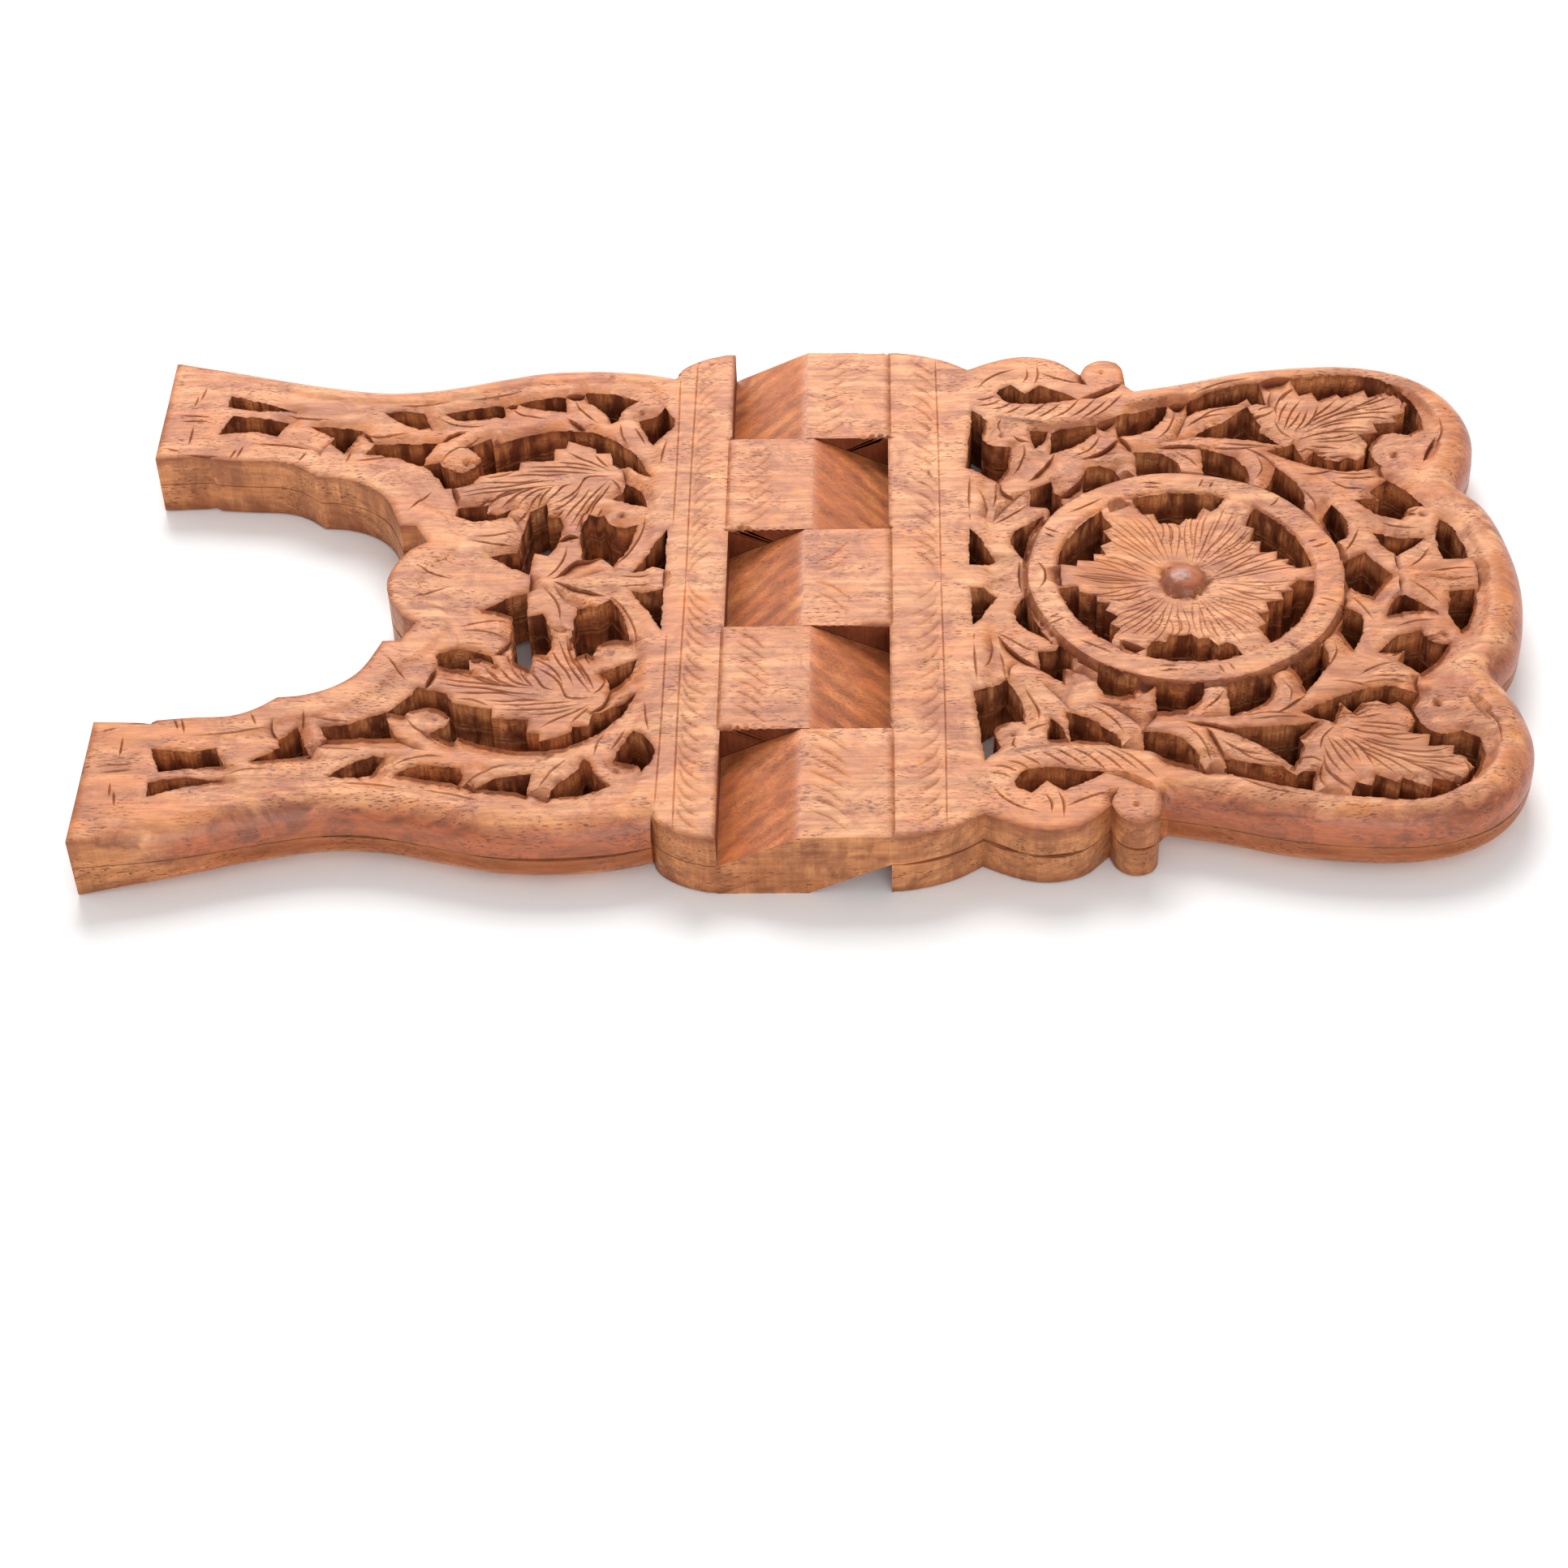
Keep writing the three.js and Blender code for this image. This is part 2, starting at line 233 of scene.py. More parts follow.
REST_VEINS = [
    # scroll by the hinge
    (50.5, 78.2, 54, 78.5, 57.5, 80.3), (50, 81, 53, 81.2, 56, 82.8), (54.5, 76.2, 58, 77.2, 61, 79.5),
    (58.5, 74, 61, 75.5, 64, 78), (64, 72.5, 68, 75.5, 71.5, 79), (68, 71.6, 72, 74.8, 76, 79),
    (72, 71.3, 76.5, 74.2, 79.5, 77.7, 81.5, 81), (78, 71.8, 82, 75.3, 86.5, 81),
    (81.5, 71.2, 86, 75.5, 90, 80.2), (84.5, 72, 88, 74.5, 92, 79.3, 94.8, 83.2),
    (50.5, 85.8, 53, 90, 57, 93.5, 62.5, 95.8), (64.5, 89, 66, 92, 66, 96),
    (68, 88, 69.2, 92, 69.2, 97.5), (70, 93.8, 75, 91, 80, 88.9, 83, 88.7),
    # stems and leaves of the outer panel
    (63, 52.5, 64, 56, 64, 59.5), (60.5, 46.5, 62.5, 51, 64, 56),
    (78, 53.8, 82, 56.5, 85, 60, 87, 64.3), (80, 52.6, 85, 54.5, 92, 55.6),
    (103.8, 62, 107, 66, 109, 71, 110, 75.5), (115.5, 48, 113, 52, 109, 56),
    (112.8, 67.3, 116, 70.8, 120, 72.8, 125, 73.8), (57.3, 66, 56.5, 69, 57.5, 71.5),
    (51.8, 26, 52, 31, 51, 36, 49.5, 39), (54, 31, 55, 37, 55.5, 44),
    (53.5, 23.5, 57, 26, 61, 29.5, 64.5, 32.3), (46.9, 29, 47, 36, 47.4, 44),
    (115, 69, 121, 75, 130, 77.4), (118, 58.6, 126, 57.2, 134, 57.8), (122, 59.8, 130, 58.8, 138, 58.7),
    (116, 83, 124, 87.4, 134, 90.2), (98, 84.5, 108, 87.2, 118, 90.5), (120, 93.6, 128, 95, 137, 96.4),
    # ring round the flower
    (68.5, 18.5, 71.5, 16.5), (68.2, 21.2, 73, 18.3), (76, 27.5, 82, 31.2, 86, 33.8),
    (98, 41, 104, 40.3), (98, 38.8, 103, 38.8), (114.5, 38.5, 116, 42), (117.5, 38, 119, 41),
    (134.5, 29.5, 136.5, 31.5, 137.5, 33.5), (145, 11, 148, 12, 150, 13), (144, 13.5, 147, 14.5),
    (66, 6, 68, 2, 68, -3),
    # ogee stems and leaves beyond the ring
    (148, 28, 148, 32, 145.5, 38), (154, 9, 157, 14, 159.5, 20), (166, 22.5, 171, 20.5, 177, 20),
    (153.5, 42, 158, 38.8, 163.5, 37.6), (145, 44.8, 150, 45.2, 156, 47.2),
    (153, 46, 160, 44.6, 167, 45.6), (156, 43, 162, 42.8, 167.5, 43.4), (138, 49, 135, 53, 130.5, 57),
    (136, 51.5, 133, 54.5, 129, 57.6), (172, 3, 176, 7, 179, 12), (178, 1.2, 184, 2.4, 190, 2),
    (171, 24, 174, 26.5, 177, 26), (172, 29, 175, 27.6, 178, 29), (186, 57, 188.5, 63, 188.6, 70),
    (132, 44, 134, 48, 133, 53),
    # vine leaf in the lobe
    (144.6, 58, 150, 57, 156, 55.5), (150, 55.4, 155, 54, 159.5, 54.2),
    (148, 58.6, 153, 58.6, 158, 57.4), (151, 60.6, 156, 61, 161, 61.6, 164.4, 63),
    (150, 61.8, 157, 62.8, 163, 64.4), (146, 62, 152, 64.5, 158, 65.6, 166.5, 65.2),
    (155, 65.5, 160, 67.2, 164, 67.6, 168.4, 66.6), (152, 66.8, 157, 69, 162, 69.8),
    (148, 65, 156, 70, 163, 72, 170, 72.3, 175, 70.6), (158, 71.6, 164, 73.8, 170, 74.6, 177, 74.4),
    (150, 68, 157, 73, 164, 76, 171, 77.4), (167, 75.6, 172, 76.4, 177, 78),
    (160, 74.4, 165, 77.6, 169, 80.2, 173, 83), (166, 77.4, 171, 79.8, 176, 82.4),
    (146, 66, 152, 71.6, 158, 75.4, 164.4, 81.6), (150, 71, 154, 75, 159, 80.6),
    (148, 67, 151, 71.5, 153.4, 78), (145, 65.6, 148, 70.4, 150, 76), (143, 66.8, 146, 71.4, 148, 75.4),
    (142, 66, 143.5, 71, 145.5, 76, 148.6, 81), (140.8, 70, 142, 75, 144.5, 80),
    (140.4, 73, 140.6, 78, 143, 83, 146, 86.4), (140, 76, 138.8, 81, 140, 86),
    (133.6, 73.6, 137, 74, 140, 76), (136, 77.2, 139, 78), (142.4, 80.6, 144.4, 84, 147, 86.6),
    (174, 83.6, 178, 82.4, 179, 79, 177.8, 76), (144.5, 62, 141, 66, 139.6, 71),
]

REST_CREASES = [
    # (points, width to the left, width to the right, depth)
    ((53, 73, 60, 71.5, 72, 69.5), 1.6, 1.6, -0.5),
    ((82, 81.5, 86, 83, 90, 85.5, 95, 88.6), 0.5, 2.4, 1.9),
    ((82.1, 92.8, 82.3, 90.5, 84, 87.7), 0.4, 1.8, 1.4),
    ((60.8, 64, 63, 62.2, 66, 61.2), 0.5, 0.6, 0.8),
    ((65, 43.5, 68, 47.5, 71, 52, 73, 56), 0.3, 4.0, 1.3),
    ((82, 53, 88, 57.5, 93, 63.5), 0.3, 2.2, 1.7),
    ((109, 61, 111, 66, 113, 72, 114, 75.5), 2.4, 0.3, 1.4),
    ((104, 60.5, 110, 61.3, 115, 63, 119, 63.7), 2.6, 0.3, 1.2),
    ((104, 58.6, 112, 58.8, 118, 57.5), 0.3, 2.6, 1.2),
    ((54, 25, 57, 30, 61, 35, 65, 39), 2.2, 0.3, 1.7),
    ((61, 7.2, 60.6, 3, 60.6, -3, 61, -7.2), 2.4, 0.3, 1.1),
    ((72.6, 4.4, 72.2, 0, 72.6, -4.4), 0.3, 4.0, 2.4),
    ((88, 27.6, 91, 29.4, 94.6, 31.4), 4.6, 0.3, 2.6),
    ((152.6, 4.6, 152.8, 9, 151.8, 14), 0.3, 2.6, 1.6), ((169, 1, 168.6, 5, 168.8, 9.4), 0.3, 2.4, 1.5),
    ((190.6, 7, 191.4, 0, 190.6, -7), 3.4, 0.3, 1.8),
    ((144.6, 29.4, 141, 32.6, 138.4, 35.6), 0.3, 3.2, 1.6),
    ((181.4, 17.4, 183, 20, 183.4, 24), 0.3, 2.0, 1.2),
    ((169.4, 42.8, 168.4, 46, 169, 49.4), 2.6, 0.3, 1.6),
    ((181.6, 50, 183.4, 55, 186.4, 61), 0.3, 3.2, 1.6),
    # ledges where leaf tips pass under the frame or the ring
    ((85.8, 69.9, 89, 71, 92, 72.2), 0.3, 5.4, 3.2), ((108, 79.3, 111, 80, 113.8, 80.4), 0.3, 5.4, 3.2),
    ((73.8, 37.9, 77.4, 40.4, 81.2, 44.8), 0.3, 4.8, 2.8),
    ((92.4, 42.6, 95, 43.6, 97.2, 44.4), 5.4, 0.3, 3.2), ((92, 64, 95, 59.6, 96.6, 56), 0.3, 3.0, 1.6),
    ((136.2, 88, 141, 89.8, 146.2, 90.2), 0.3, 4.6, 3.0), ((175.6, 86.6, 178.6, 84.2), 0.3, 4.0, 2.6),
    ((56.4, 43, 57, 38, 61.2, 34.8), 0.3, 2.2, 1.1),
]

# (x, v, radius, depth)
REST_DOTS = [
    (88.7, 93.3, 1.1, 0.9), (57.3, 64.8, 1.2, 0.9), (173.5, 53.5, 1.6, 1.2), (179, 26, 1.3, 1.0),
]

REST_DIPS = [
    # (x, v, half length along x, half width, depth)
    (157, 70, 31, 26, 0.8), (90, 68, 8, 5, 0.8), (70, 48, 9, 9, 0.5), (110.6, 77, 6, 6, 0.9),
    (77.6, 38.6, 7, 6, 0.8), (55.6, 5, 5, 5, 0.6), (94.6, 47.6, 6, 6, 0.9), (179, 8, 11, 9, 0.5),
    (152, 36, 9, 10, 0.4), (57, 29, 7, 9, 0.4), (87, 60, 8, 5, 0.4),
]

LEG_VEINS = [
    # foot and long stems
    (-188, 58.7, -178, 58), (-194, 61.8, -190, 60.5), (-174.5, 57, -173, 61), (-172.5, 57, -171, 62.5),
    (-153.5, 55, -151.5, 59.5), (-139, 54, -138.5, 61.5), (-187.7, 64, -187.5, 72),
    (-192, 75, -183, 74.8), (-192, 77.8, -183, 77), (-188.5, 82, -188, 87), (-187, 85, -186, 91),
    (-136, 56, -131, 57, -126, 57.7), (-159.5, 78.5, -153, 76.4, -146, 76),
    (-135, 68, -130, 67.8, -122, 69), (-168, 63.6, -158, 62.6, -148, 60), (-170, 73, -163, 72.4),
    # vine under the outer edge
    (-112.5, 75.5, -108, 72.7, -102, 71.7, -98.5, 72), (-72, 84, -69.5, 79, -64.7, 73),
    (-91.5, 81, -88, 78, -83, 75.8, -80, 75.2), (-57.5, 72, -56.5, 66, -55, 63),
    (-60.3, 73, -58, 78, -55, 81.5, -52.5, 83.5), (-53, 70, -51, 66, -49.5, 62),
    (-44.5, 52, -44, 58, -43, 63), (-126, 82, -118, 82.4, -110, 84), (-104, 84.6, -96, 86.4, -88, 89),
    (-110.5, 56, -107.5, 60.5, -104, 63, -99.5, 67.5),
    # vine leaf in the loop
    (-104, 39.5, -97, 41, -88, 42.5, -80, 43.8, -76, 44),
    (-103, 41.5, -97, 43, -90, 44, -82, 46, -74, 47), (-99, 37.5, -95, 38, -84, 43),
    (-98, 36, -96, 37.5, -95, 39), (-94.5, 37, -92, 40, -87, 42.5, -82, 43.5),
    (-91, 34, -88.5, 38, -86, 41, -81, 43.5), (-89, 36.5, -86.5, 40),
    (-86, 35.5, -84, 39, -81, 42, -76, 43.5), (-83, 34, -81.5, 38, -79, 41.5),
    (-80.4, 35, -79, 39.6, -76, 43.8), (-78, 36.6, -75.5, 40, -73, 44, -70, 45),
    (-76, 35.5, -72, 38.5, -69, 42, -67, 48), (-77, 32, -73, 34.5, -70, 38, -68, 42),
    (-75, 30.5, -72, 33), (-72, 28, -70, 33, -67, 38, -65, 43),
    (-70, 25, -68, 31, -65.5, 37, -62, 43, -60, 46), (-66.8, 24, -66.6, 29),
    (-68, 23, -67, 29, -64, 36, -61, 42), (-65, 31, -63, 36, -61, 40, -59, 45), (-62.5, 30, -61, 34),
    (-98, 45.5, -92, 46, -86, 46, -80, 47.5), (-90, 48.5, -84, 49.5, -78, 49, -72, 49.5),
    (-86, 50.5, -80, 51, -72, 50.5, -64, 49.5), (-85, 52.8, -78, 53, -70, 52.5, -62, 50.5),
    (-76, 55, -70, 54.5, -64, 52.5), (-73, 60, -69, 57, -64, 54, -60, 51),
    (-64.6, 58.4, -63, 56, -60, 52), (-68, 44, -66.5, 47.8, -63, 48.5, -60, 48),
    (-97, 48, -92, 49, -88, 51),
    # crown and middle leaves
    (-113.5, 7.5, -109, 4.5, -103, 1.8), (-98, 20.5, -92, 21, -85, 23.5), (-99, 19, -91, 17, -85, 16.4),
    (-76, 2, -73, 6, -71, 11, -70.3, 16), (-57, 5.4, -52.4, 12, -48.6, 22, -48, 30),
    (-54, 2.4, -50, 2, -45, 2.2), (-96, 30.6, -93, 30, -90, 31), (-87, 28, -84.6, 30, -83, 34),
    (-118, 32, -114, 38, -112, 41), (-56, 41, -57, 44, -59, 46.6),
]

LEG_CREASES = [
    ((-104, 36, -105.4, 40, -106.3, 44), 0.4, 1.6, 1.8),
    ((-73.5, 75, -70.5, 72.5, -68, 70.3), 0.3, 2.6, 1.3), ((-80, -4, -79.6, 0, -80, 4), 0.3, 3.0, 1.8),
    ((-73, 2, -70, 6.5, -67, 9.7, -60, 9.7), 0.3, 3.4, 1.5),
    ((-73, 0, -66, 2.6, -58, 5.6), 2.6, 0.3, 1.2), ((-73, 18.6, -70, 21, -67, 20), 0.3, 2.6, 1.4),
    ((-47.2, 47.4, -50, 50, -53, 51.8), 2.0, 0.3, 1.0),
    ((-59.6, 54, -56, 51, -54.6, 45), 2.0, 0.3, 1.2), ((-84, 24, -86, 28, -88, 30.2), 0.3, 2.6, 1.3),
    ((-41.4, 4, -41.4, -4), 2.6, 0.3, 1.2), ((-131.5, 64.8, -135.6, 70.6), 2.4, 0.3, 1.3),
    ((-112.2, 64.4, -108, 68, -104, 69.4), 0.3, 2.4, 1.2),
    ((-92.8, 82.6, -91, 83.4, -89.4, 83.8), 0.3, 3.6, 2.2),
    ((-75, 86.6, -72, 87.6, -69, 88.3), 0.3, 3.6, 2.2),
    ((-144.8, 64.6, -147, 61, -147, 57), 0.3, 2.6, 1.0),
    ((-98.4, 56.6, -96, 61, -95.4, 63.4), 0.3, 2.6, 1.2),
]

LEG_DOTS = [(-51, 78, 1.2, 0.9), (-102.7, 55.7, 1.3, 1.0), (-55.2, 30, 1.6, 1.2)]

LEG_DIPS = [
    (-80, 46, 34, 26, 0.7), (-74, 12, 14, 12, 0.7), (-63, 5, 9, 5, 0.6), (-55, 30, 7, 7, 0.4),
    (-90, 80, 6, 6, 0.6), (-72, 84, 6, 6, 0.6),
]

# lengths of the flower panel, the gouge marks and the rims
RING_CENTRE = 108.0
RING_INNER = 36.6
RING_LIP = 37.7
RING_SHOULDER = 44.9
RING_OUTER = 46.1
RING_EDGES = (36.7, RING_LIP, RING_SHOULDER, RING_OUTER, 47.0)
BOSS = 6.4
BOSS_TOP = 3.4
BOSS_SLOPES = ((2.6, 0.2), (0.95, 0.8), (0.3, 2.0))
BOSS_FACETS = 9
VINE_DEPTH = 0.55
BEVEL_REACH = 5.0
EDGE_ROUND = 8.0
BLOCK_END = -40.9
# where the big rounding of the outer edge sets in, and over what length
REST_ROUND = (95.2, 3)
LEG_ROUND = (-197, 46)
LEG_ROUND_SIDE = (68, 6)
RIM_REACH = 14.0
LEAST_WOOD = 2.3
DISH_RADIUS = 32
DISH_DEPTH = 2.9
SCOOP_LENGTH = 9.0
SCOOP_WIDTH = 4.2
TORN_REACH = 1.5
PETALS = (0, 60, 120, 180)
PETAL_SPREAD = 27
LINES_PER_PETAL = 13


def flower_veins():
    """Knife lines that fan out along the petals, for v >= 0."""
    placed = []
    for petal in PETALS:
        bend = rng.uniform(-3, 3)
        for number, lean in enumerate(np.linspace(-PETAL_SPREAD, PETAL_SPREAD, LINES_PER_PETAL)):
            lean += rng.uniform(-1.2, 1.2)
            first = rng.uniform(13, 18) if number % 2 else rng.uniform(8.2, 10.5)
            last = rng.uniform(28, 34) - 0.008 * lean**2
            line = []
            for share in (0, 0.3, 0.65, 1):
                reach = first + (last - first) * share
                bow = math.sin(math.pi * share)
                spread = 0.45 + 0.55 * (reach / 34) ** 0.6 + 0.16 * bow
                angle = math.radians(petal + lean * spread + bend * bow + rng.uniform(-0.8, 0.8))
                line.append((RING_CENTRE + reach * math.cos(angle), reach * math.sin(angle)))
            if min(v for x, v in line) > -0.4:
                placed.append(line)
    return placed


def feather_cuts(first, last, step, shape):
    """A row of short slanting cuts along the hinge block."""
    cuts = []
    for row in np.arange(first, last, step):
        cuts.append([(x + rng.uniform(-0.4, 0.4), row + v + rng.uniform(-0.5, 0.5)) for x, v in shape])
    return cuts


REST_SHALLOW = feather_cuts(3, 96, 5.6, [(37.2, 0), (35.2, 3.6), (30.8, 7.6)])
REST_SHALLOW += feather_cuts(2, 12, 5.0, [(2.2, 0), (7, 2.6), (11.5, 7.4)])
REST_SHALLOW += feather_cuts(65, 97, 5.0, [(2.2, 0), (7, 2.6), (11.5, 7.4)])
LEG_SHALLOW = feather_cuts(2, 94, 4.8, [(-34.2, 0), (-32.6, 4.4), (-28.2, 8.8)])
LEG_SHALLOW += feather_cuts(23, 54, 5.0, [(-19.4, 0), (-15.2, 2.8), (-11.2, 7.6)])
REST_SCRIBED = [[(38.2, 0), (38.4, 60), (38.1, 101)], [(47.2, 24.5), (46.9, 27.5)]]
REST_SCRIBED += [[(24.1, 0.5), (24.1, 20.4)], [(24.1, 63.8), (24.1, 104)]]
LEG_SCRIBED = [[(-35, 0), (-35.2, 50), (-34.9, 101)], [(-39.8, 0), (-39.9, 3.6)]]
LEG_SCRIBED += [[(-24.1, 21.8), (-24.1, 62.4)], [(-39.6, 24), (-39.6, 60), (-40, 92)]]


def in_box(points, low, high):
    """Numbers of the points inside a box."""
    return np.flatnonzero(((points > low) & (points < high)).all(1))


def nearest(points, a, d):
    """The nearest of the segments a to a + d: distance, number, share along it, gap."""
    rel = points[:, None] - a[None]
    share = unit((rel * d).sum(2) / np.maximum((d * d).sum(1), TINY))
    gap = rel - d * share[:, :, None]
    dist = np.hypot(gap[:, :, 0], gap[:, :, 1])
    best = dist.argmin(1)
    rows = np.arange(len(points))
    return dist[rows, best], best, share[rows, best], gap[rows, best]


class Cut:
    """One knife cut: its line, the width of its slope on each side, and its depth."""

    def __init__(self, points, left, right, depth, mirror, square=False, dark=1.0):
        line = through(np.reshape(points, (-1, 2)) * (1, mirror), 1.0)
        self.left, self.right = (left, right) if mirror > 0 else (right, left)
        self.depth = depth
        self.dark = dark
        self.line = line
        steps = np.linalg.norm(np.diff(line, axis=0), axis=1)
        run = np.concatenate([[0], np.cumsum(steps)]) / steps.sum()
        ends = np.minimum(run, 1 - run)
        fade = 0.06 if square else 0.3
        self.taper = unit(0.12 + ends / fade)

    def side_lines(self):
        """The cut's bottom line and the two lines where its slopes meet the face."""
        across = sideways(np.gradient(self.line, axis=0))
        widths = (0, self.left, -self.right)
        return [self.line + across * (width * self.taper)[:, None] for width in widths]

    def measure(self, points):
        """Depth of the cut and the painted shade in it at the points near it, with their numbers."""
        reach = max(self.left, self.right)
        low, high = self.line.min(0) - reach, self.line.max(0) + reach
        near = in_box(points, low, high)
        if len(near) == 0:
            return near, near, near
        d = np.diff(self.line, axis=0)
        dist, best, share, gap = nearest(points[near], self.line[:-1], d)
        side = d[best, 0] * gap[:, 1] - d[best, 1] * gap[:, 0]
        taper = self.taper[best] + (self.taper[best + 1] - self.taper[best]) * share
        width = np.where(side > 0, self.left, self.right) * np.maximum(taper, 0.05)
        slope = unit(1 - dist / width)
        line_mark = unit(1 - dist / np.minimum(width, 0.9))
        return near, self.depth * taper * slope, self.dark * taper * line_mark


def both(cuts, left, right, depth, dark, square=False):
    """Cuts of one kind and their mirrored twins."""
    return [Cut(c, left, right, depth, m, square, dark) for c in cuts for m in (1, -1)]


# width to the left, width to the right, depth, darkness of the painted shade in the cut (and blunt
# ends)
VEIN = (0.32, 0.55, 0.55, 0.7)
PETAL_LINE = (0.25, 0.4, 0.36, 0.36)
SHALLOW = (1.3, 0.6, 0.34, 0.42)
SCRIBED = (0.3, 0.3, 0.32, 0.28, True)


def all_cuts(veins, petals, shallow, scribed, creases):
    """Every knife cut of one half."""
    cuts = both(veins, *VEIN) + both(petals, *PETAL_LINE)
    cuts += both(shallow, *SHALLOW) + both(scribed, *SCRIBED)
    return cuts + [Cut(*c, m) for c in creases for m in (1, -1)]


# for the rest (1) and the legs (-1): knife cuts, dots and dips
RELIEF = {
    1: (all_cuts(REST_VEINS, flower_veins(), REST_SHALLOW, REST_SCRIBED, REST_CREASES),
        REST_DOTS, REST_DIPS),
    -1: (all_cuts(LEG_VEINS, [], LEG_SHALLOW, LEG_SCRIBED, LEG_CREASES), LEG_DOTS, LEG_DIPS),
}


def to_line(points, loop, reach):
    """Distance from each point to a closed outline, and the nearest place on it."""
    d = np.roll(loop, -1, axis=0) - loop
    best = np.full(len(points), reach)
    where = points.copy()
    for first in range(0, len(loop), BATCH):
        aa, dd = loop[first : first + BATCH], d[first : first + BATCH]
        low = np.minimum(aa, aa + dd).min(0) - reach
        high = np.maximum(aa, aa + dd).max(0) + reach
        near = in_box(points, low, high)
        if len(near) == 0:
            continue
        dist, pick, share, _ = nearest(points[near], aa, dd)
        place = aa[pick] + dd[pick] * share[:, None]
        better = dist < best[near]
        best[near[better]] = dist[better]
        where[near[better]] = place[better]
    return best, where


def rounded_part(place):
    """How much of the big rounding there is at that place on the outer edge."""
    x, v = place[:, 0], np.abs(place[:, 1])
    rest = smooth((x - REST_ROUND[0]) / REST_ROUND[1])
    legs = smooth((x - LEG_ROUND[0]) / LEG_ROUND[1]) ** 0.7
    legs *= smooth((v - LEG_ROUND_SIDE[0]) / LEG_ROUND_SIDE[1])
    return np.where(x > 0, rest, legs)


def rounding_line(outer, side):
    """The outline that the rounding follows: on the legs it runs on straight past the block."""
    line = outer.copy()
    if side < 0:
        past = line[:, 0] > BLOCK_END - 0.35
        line[past, 1] = np.sign(line[past, 1]) * (98 - 0.3 * (line[past, 0] - BLOCK_END))
    return line


def bevels(points, holes):
    """Depth of the knife bevels round the openings, and the distance to the nearest one."""
    deep = np.zeros(len(points))
    near = np.full(len(points), BEVEL_REACH)
    for hole in holes:
        dist, place = to_line(points, hole, BEVEL_REACH)
        cx, cy = hole.mean(0)
        lean = 0.9 * cx + 0.7 * abs(cy)
        away = (points - place) / np.maximum(dist, 0.01)[:, None]
        facing = away[:, 0] * math.cos(lean) + away[:, 1] * math.copysign(math.sin(lean), cy)
        facing = unit(facing)
        reach = 1.3 + 3.2 * facing
        deep = np.maximum(deep, (0.25 + 1.5 * facing) * unit(1 - dist / reach))
        near = np.minimum(near, dist)
    return deep, near


def scoops(x, v):
    """Long shallow gouge marks that meet in low ridges: 1 in the middle of a mark."""
    a, b = (0.82 * x + 0.57 * v) / SCOOP_LENGTH, (0.82 * v - 0.57 * x) / SCOOP_WIDTH
    gap = np.full(len(x), 1.0)
    for i, j in product((-1, 0, 1), repeat=2):
        row, number = np.floor(a) + i, np.floor(b) + j
        middle_a = row + 0.5 + 0.35 * np.sin(12.9 * row + 78.2 * number)
        middle_b = number + 0.5 + 0.35 * np.sin(39.3 * row + 11.1 * number)
        gap = np.minimum(gap, (a - middle_a) ** 2 + (b - middle_b) ** 2)
    return 1 - gap


def boss_height(x, y):
    """Height of the cut boss in the middle of the flower: rings of sloping facets."""
    height = np.full(len(x), BOSS_TOP)
    for k in range(BOSS_FACETS):
        angle = 2 * math.pi * (k + 0.3) / BOSS_FACETS
        reach = x * math.cos(angle) + y * math.sin(angle)
        for slope, foot in BOSS_SLOPES:
            height = np.minimum(height, slope * (BOSS - reach) + foot)
    return np.maximum(height, 0)


def torn_edge(x, y):
    """Depth of the torn fibres along each knuckle's edge towards the pocket in front of it."""
    place = (y + HALF_WIDTH) / KNUCKLE_LENGTH
    number = np.floor(place + 1e-6)
    beyond = (place - number) * KNUCKLE_LENGTH - HALF_GAP
    rough = unit(0.45 + np.sin(5.1 * x + 3 * number) * np.sin(2.7 * x + 1.3 * number))
    corner = 0.5 + 1.5 * smooth((np.abs(x) - 13) / 7)
    reach = smooth(POCKET + 1 - np.abs(x)) * smooth((np.abs(x) - 2) / 3) * (number > 0)
    return corner * rough * reach * unit(1 - beyond / TORN_REACH)


def ring_wave(angle):
    """How far the hand-cut ring strays from a true circle."""
    return 0.28 * np.sin(3 * angle + 1) + 0.22 * np.sin(8 * angle + 0.4)


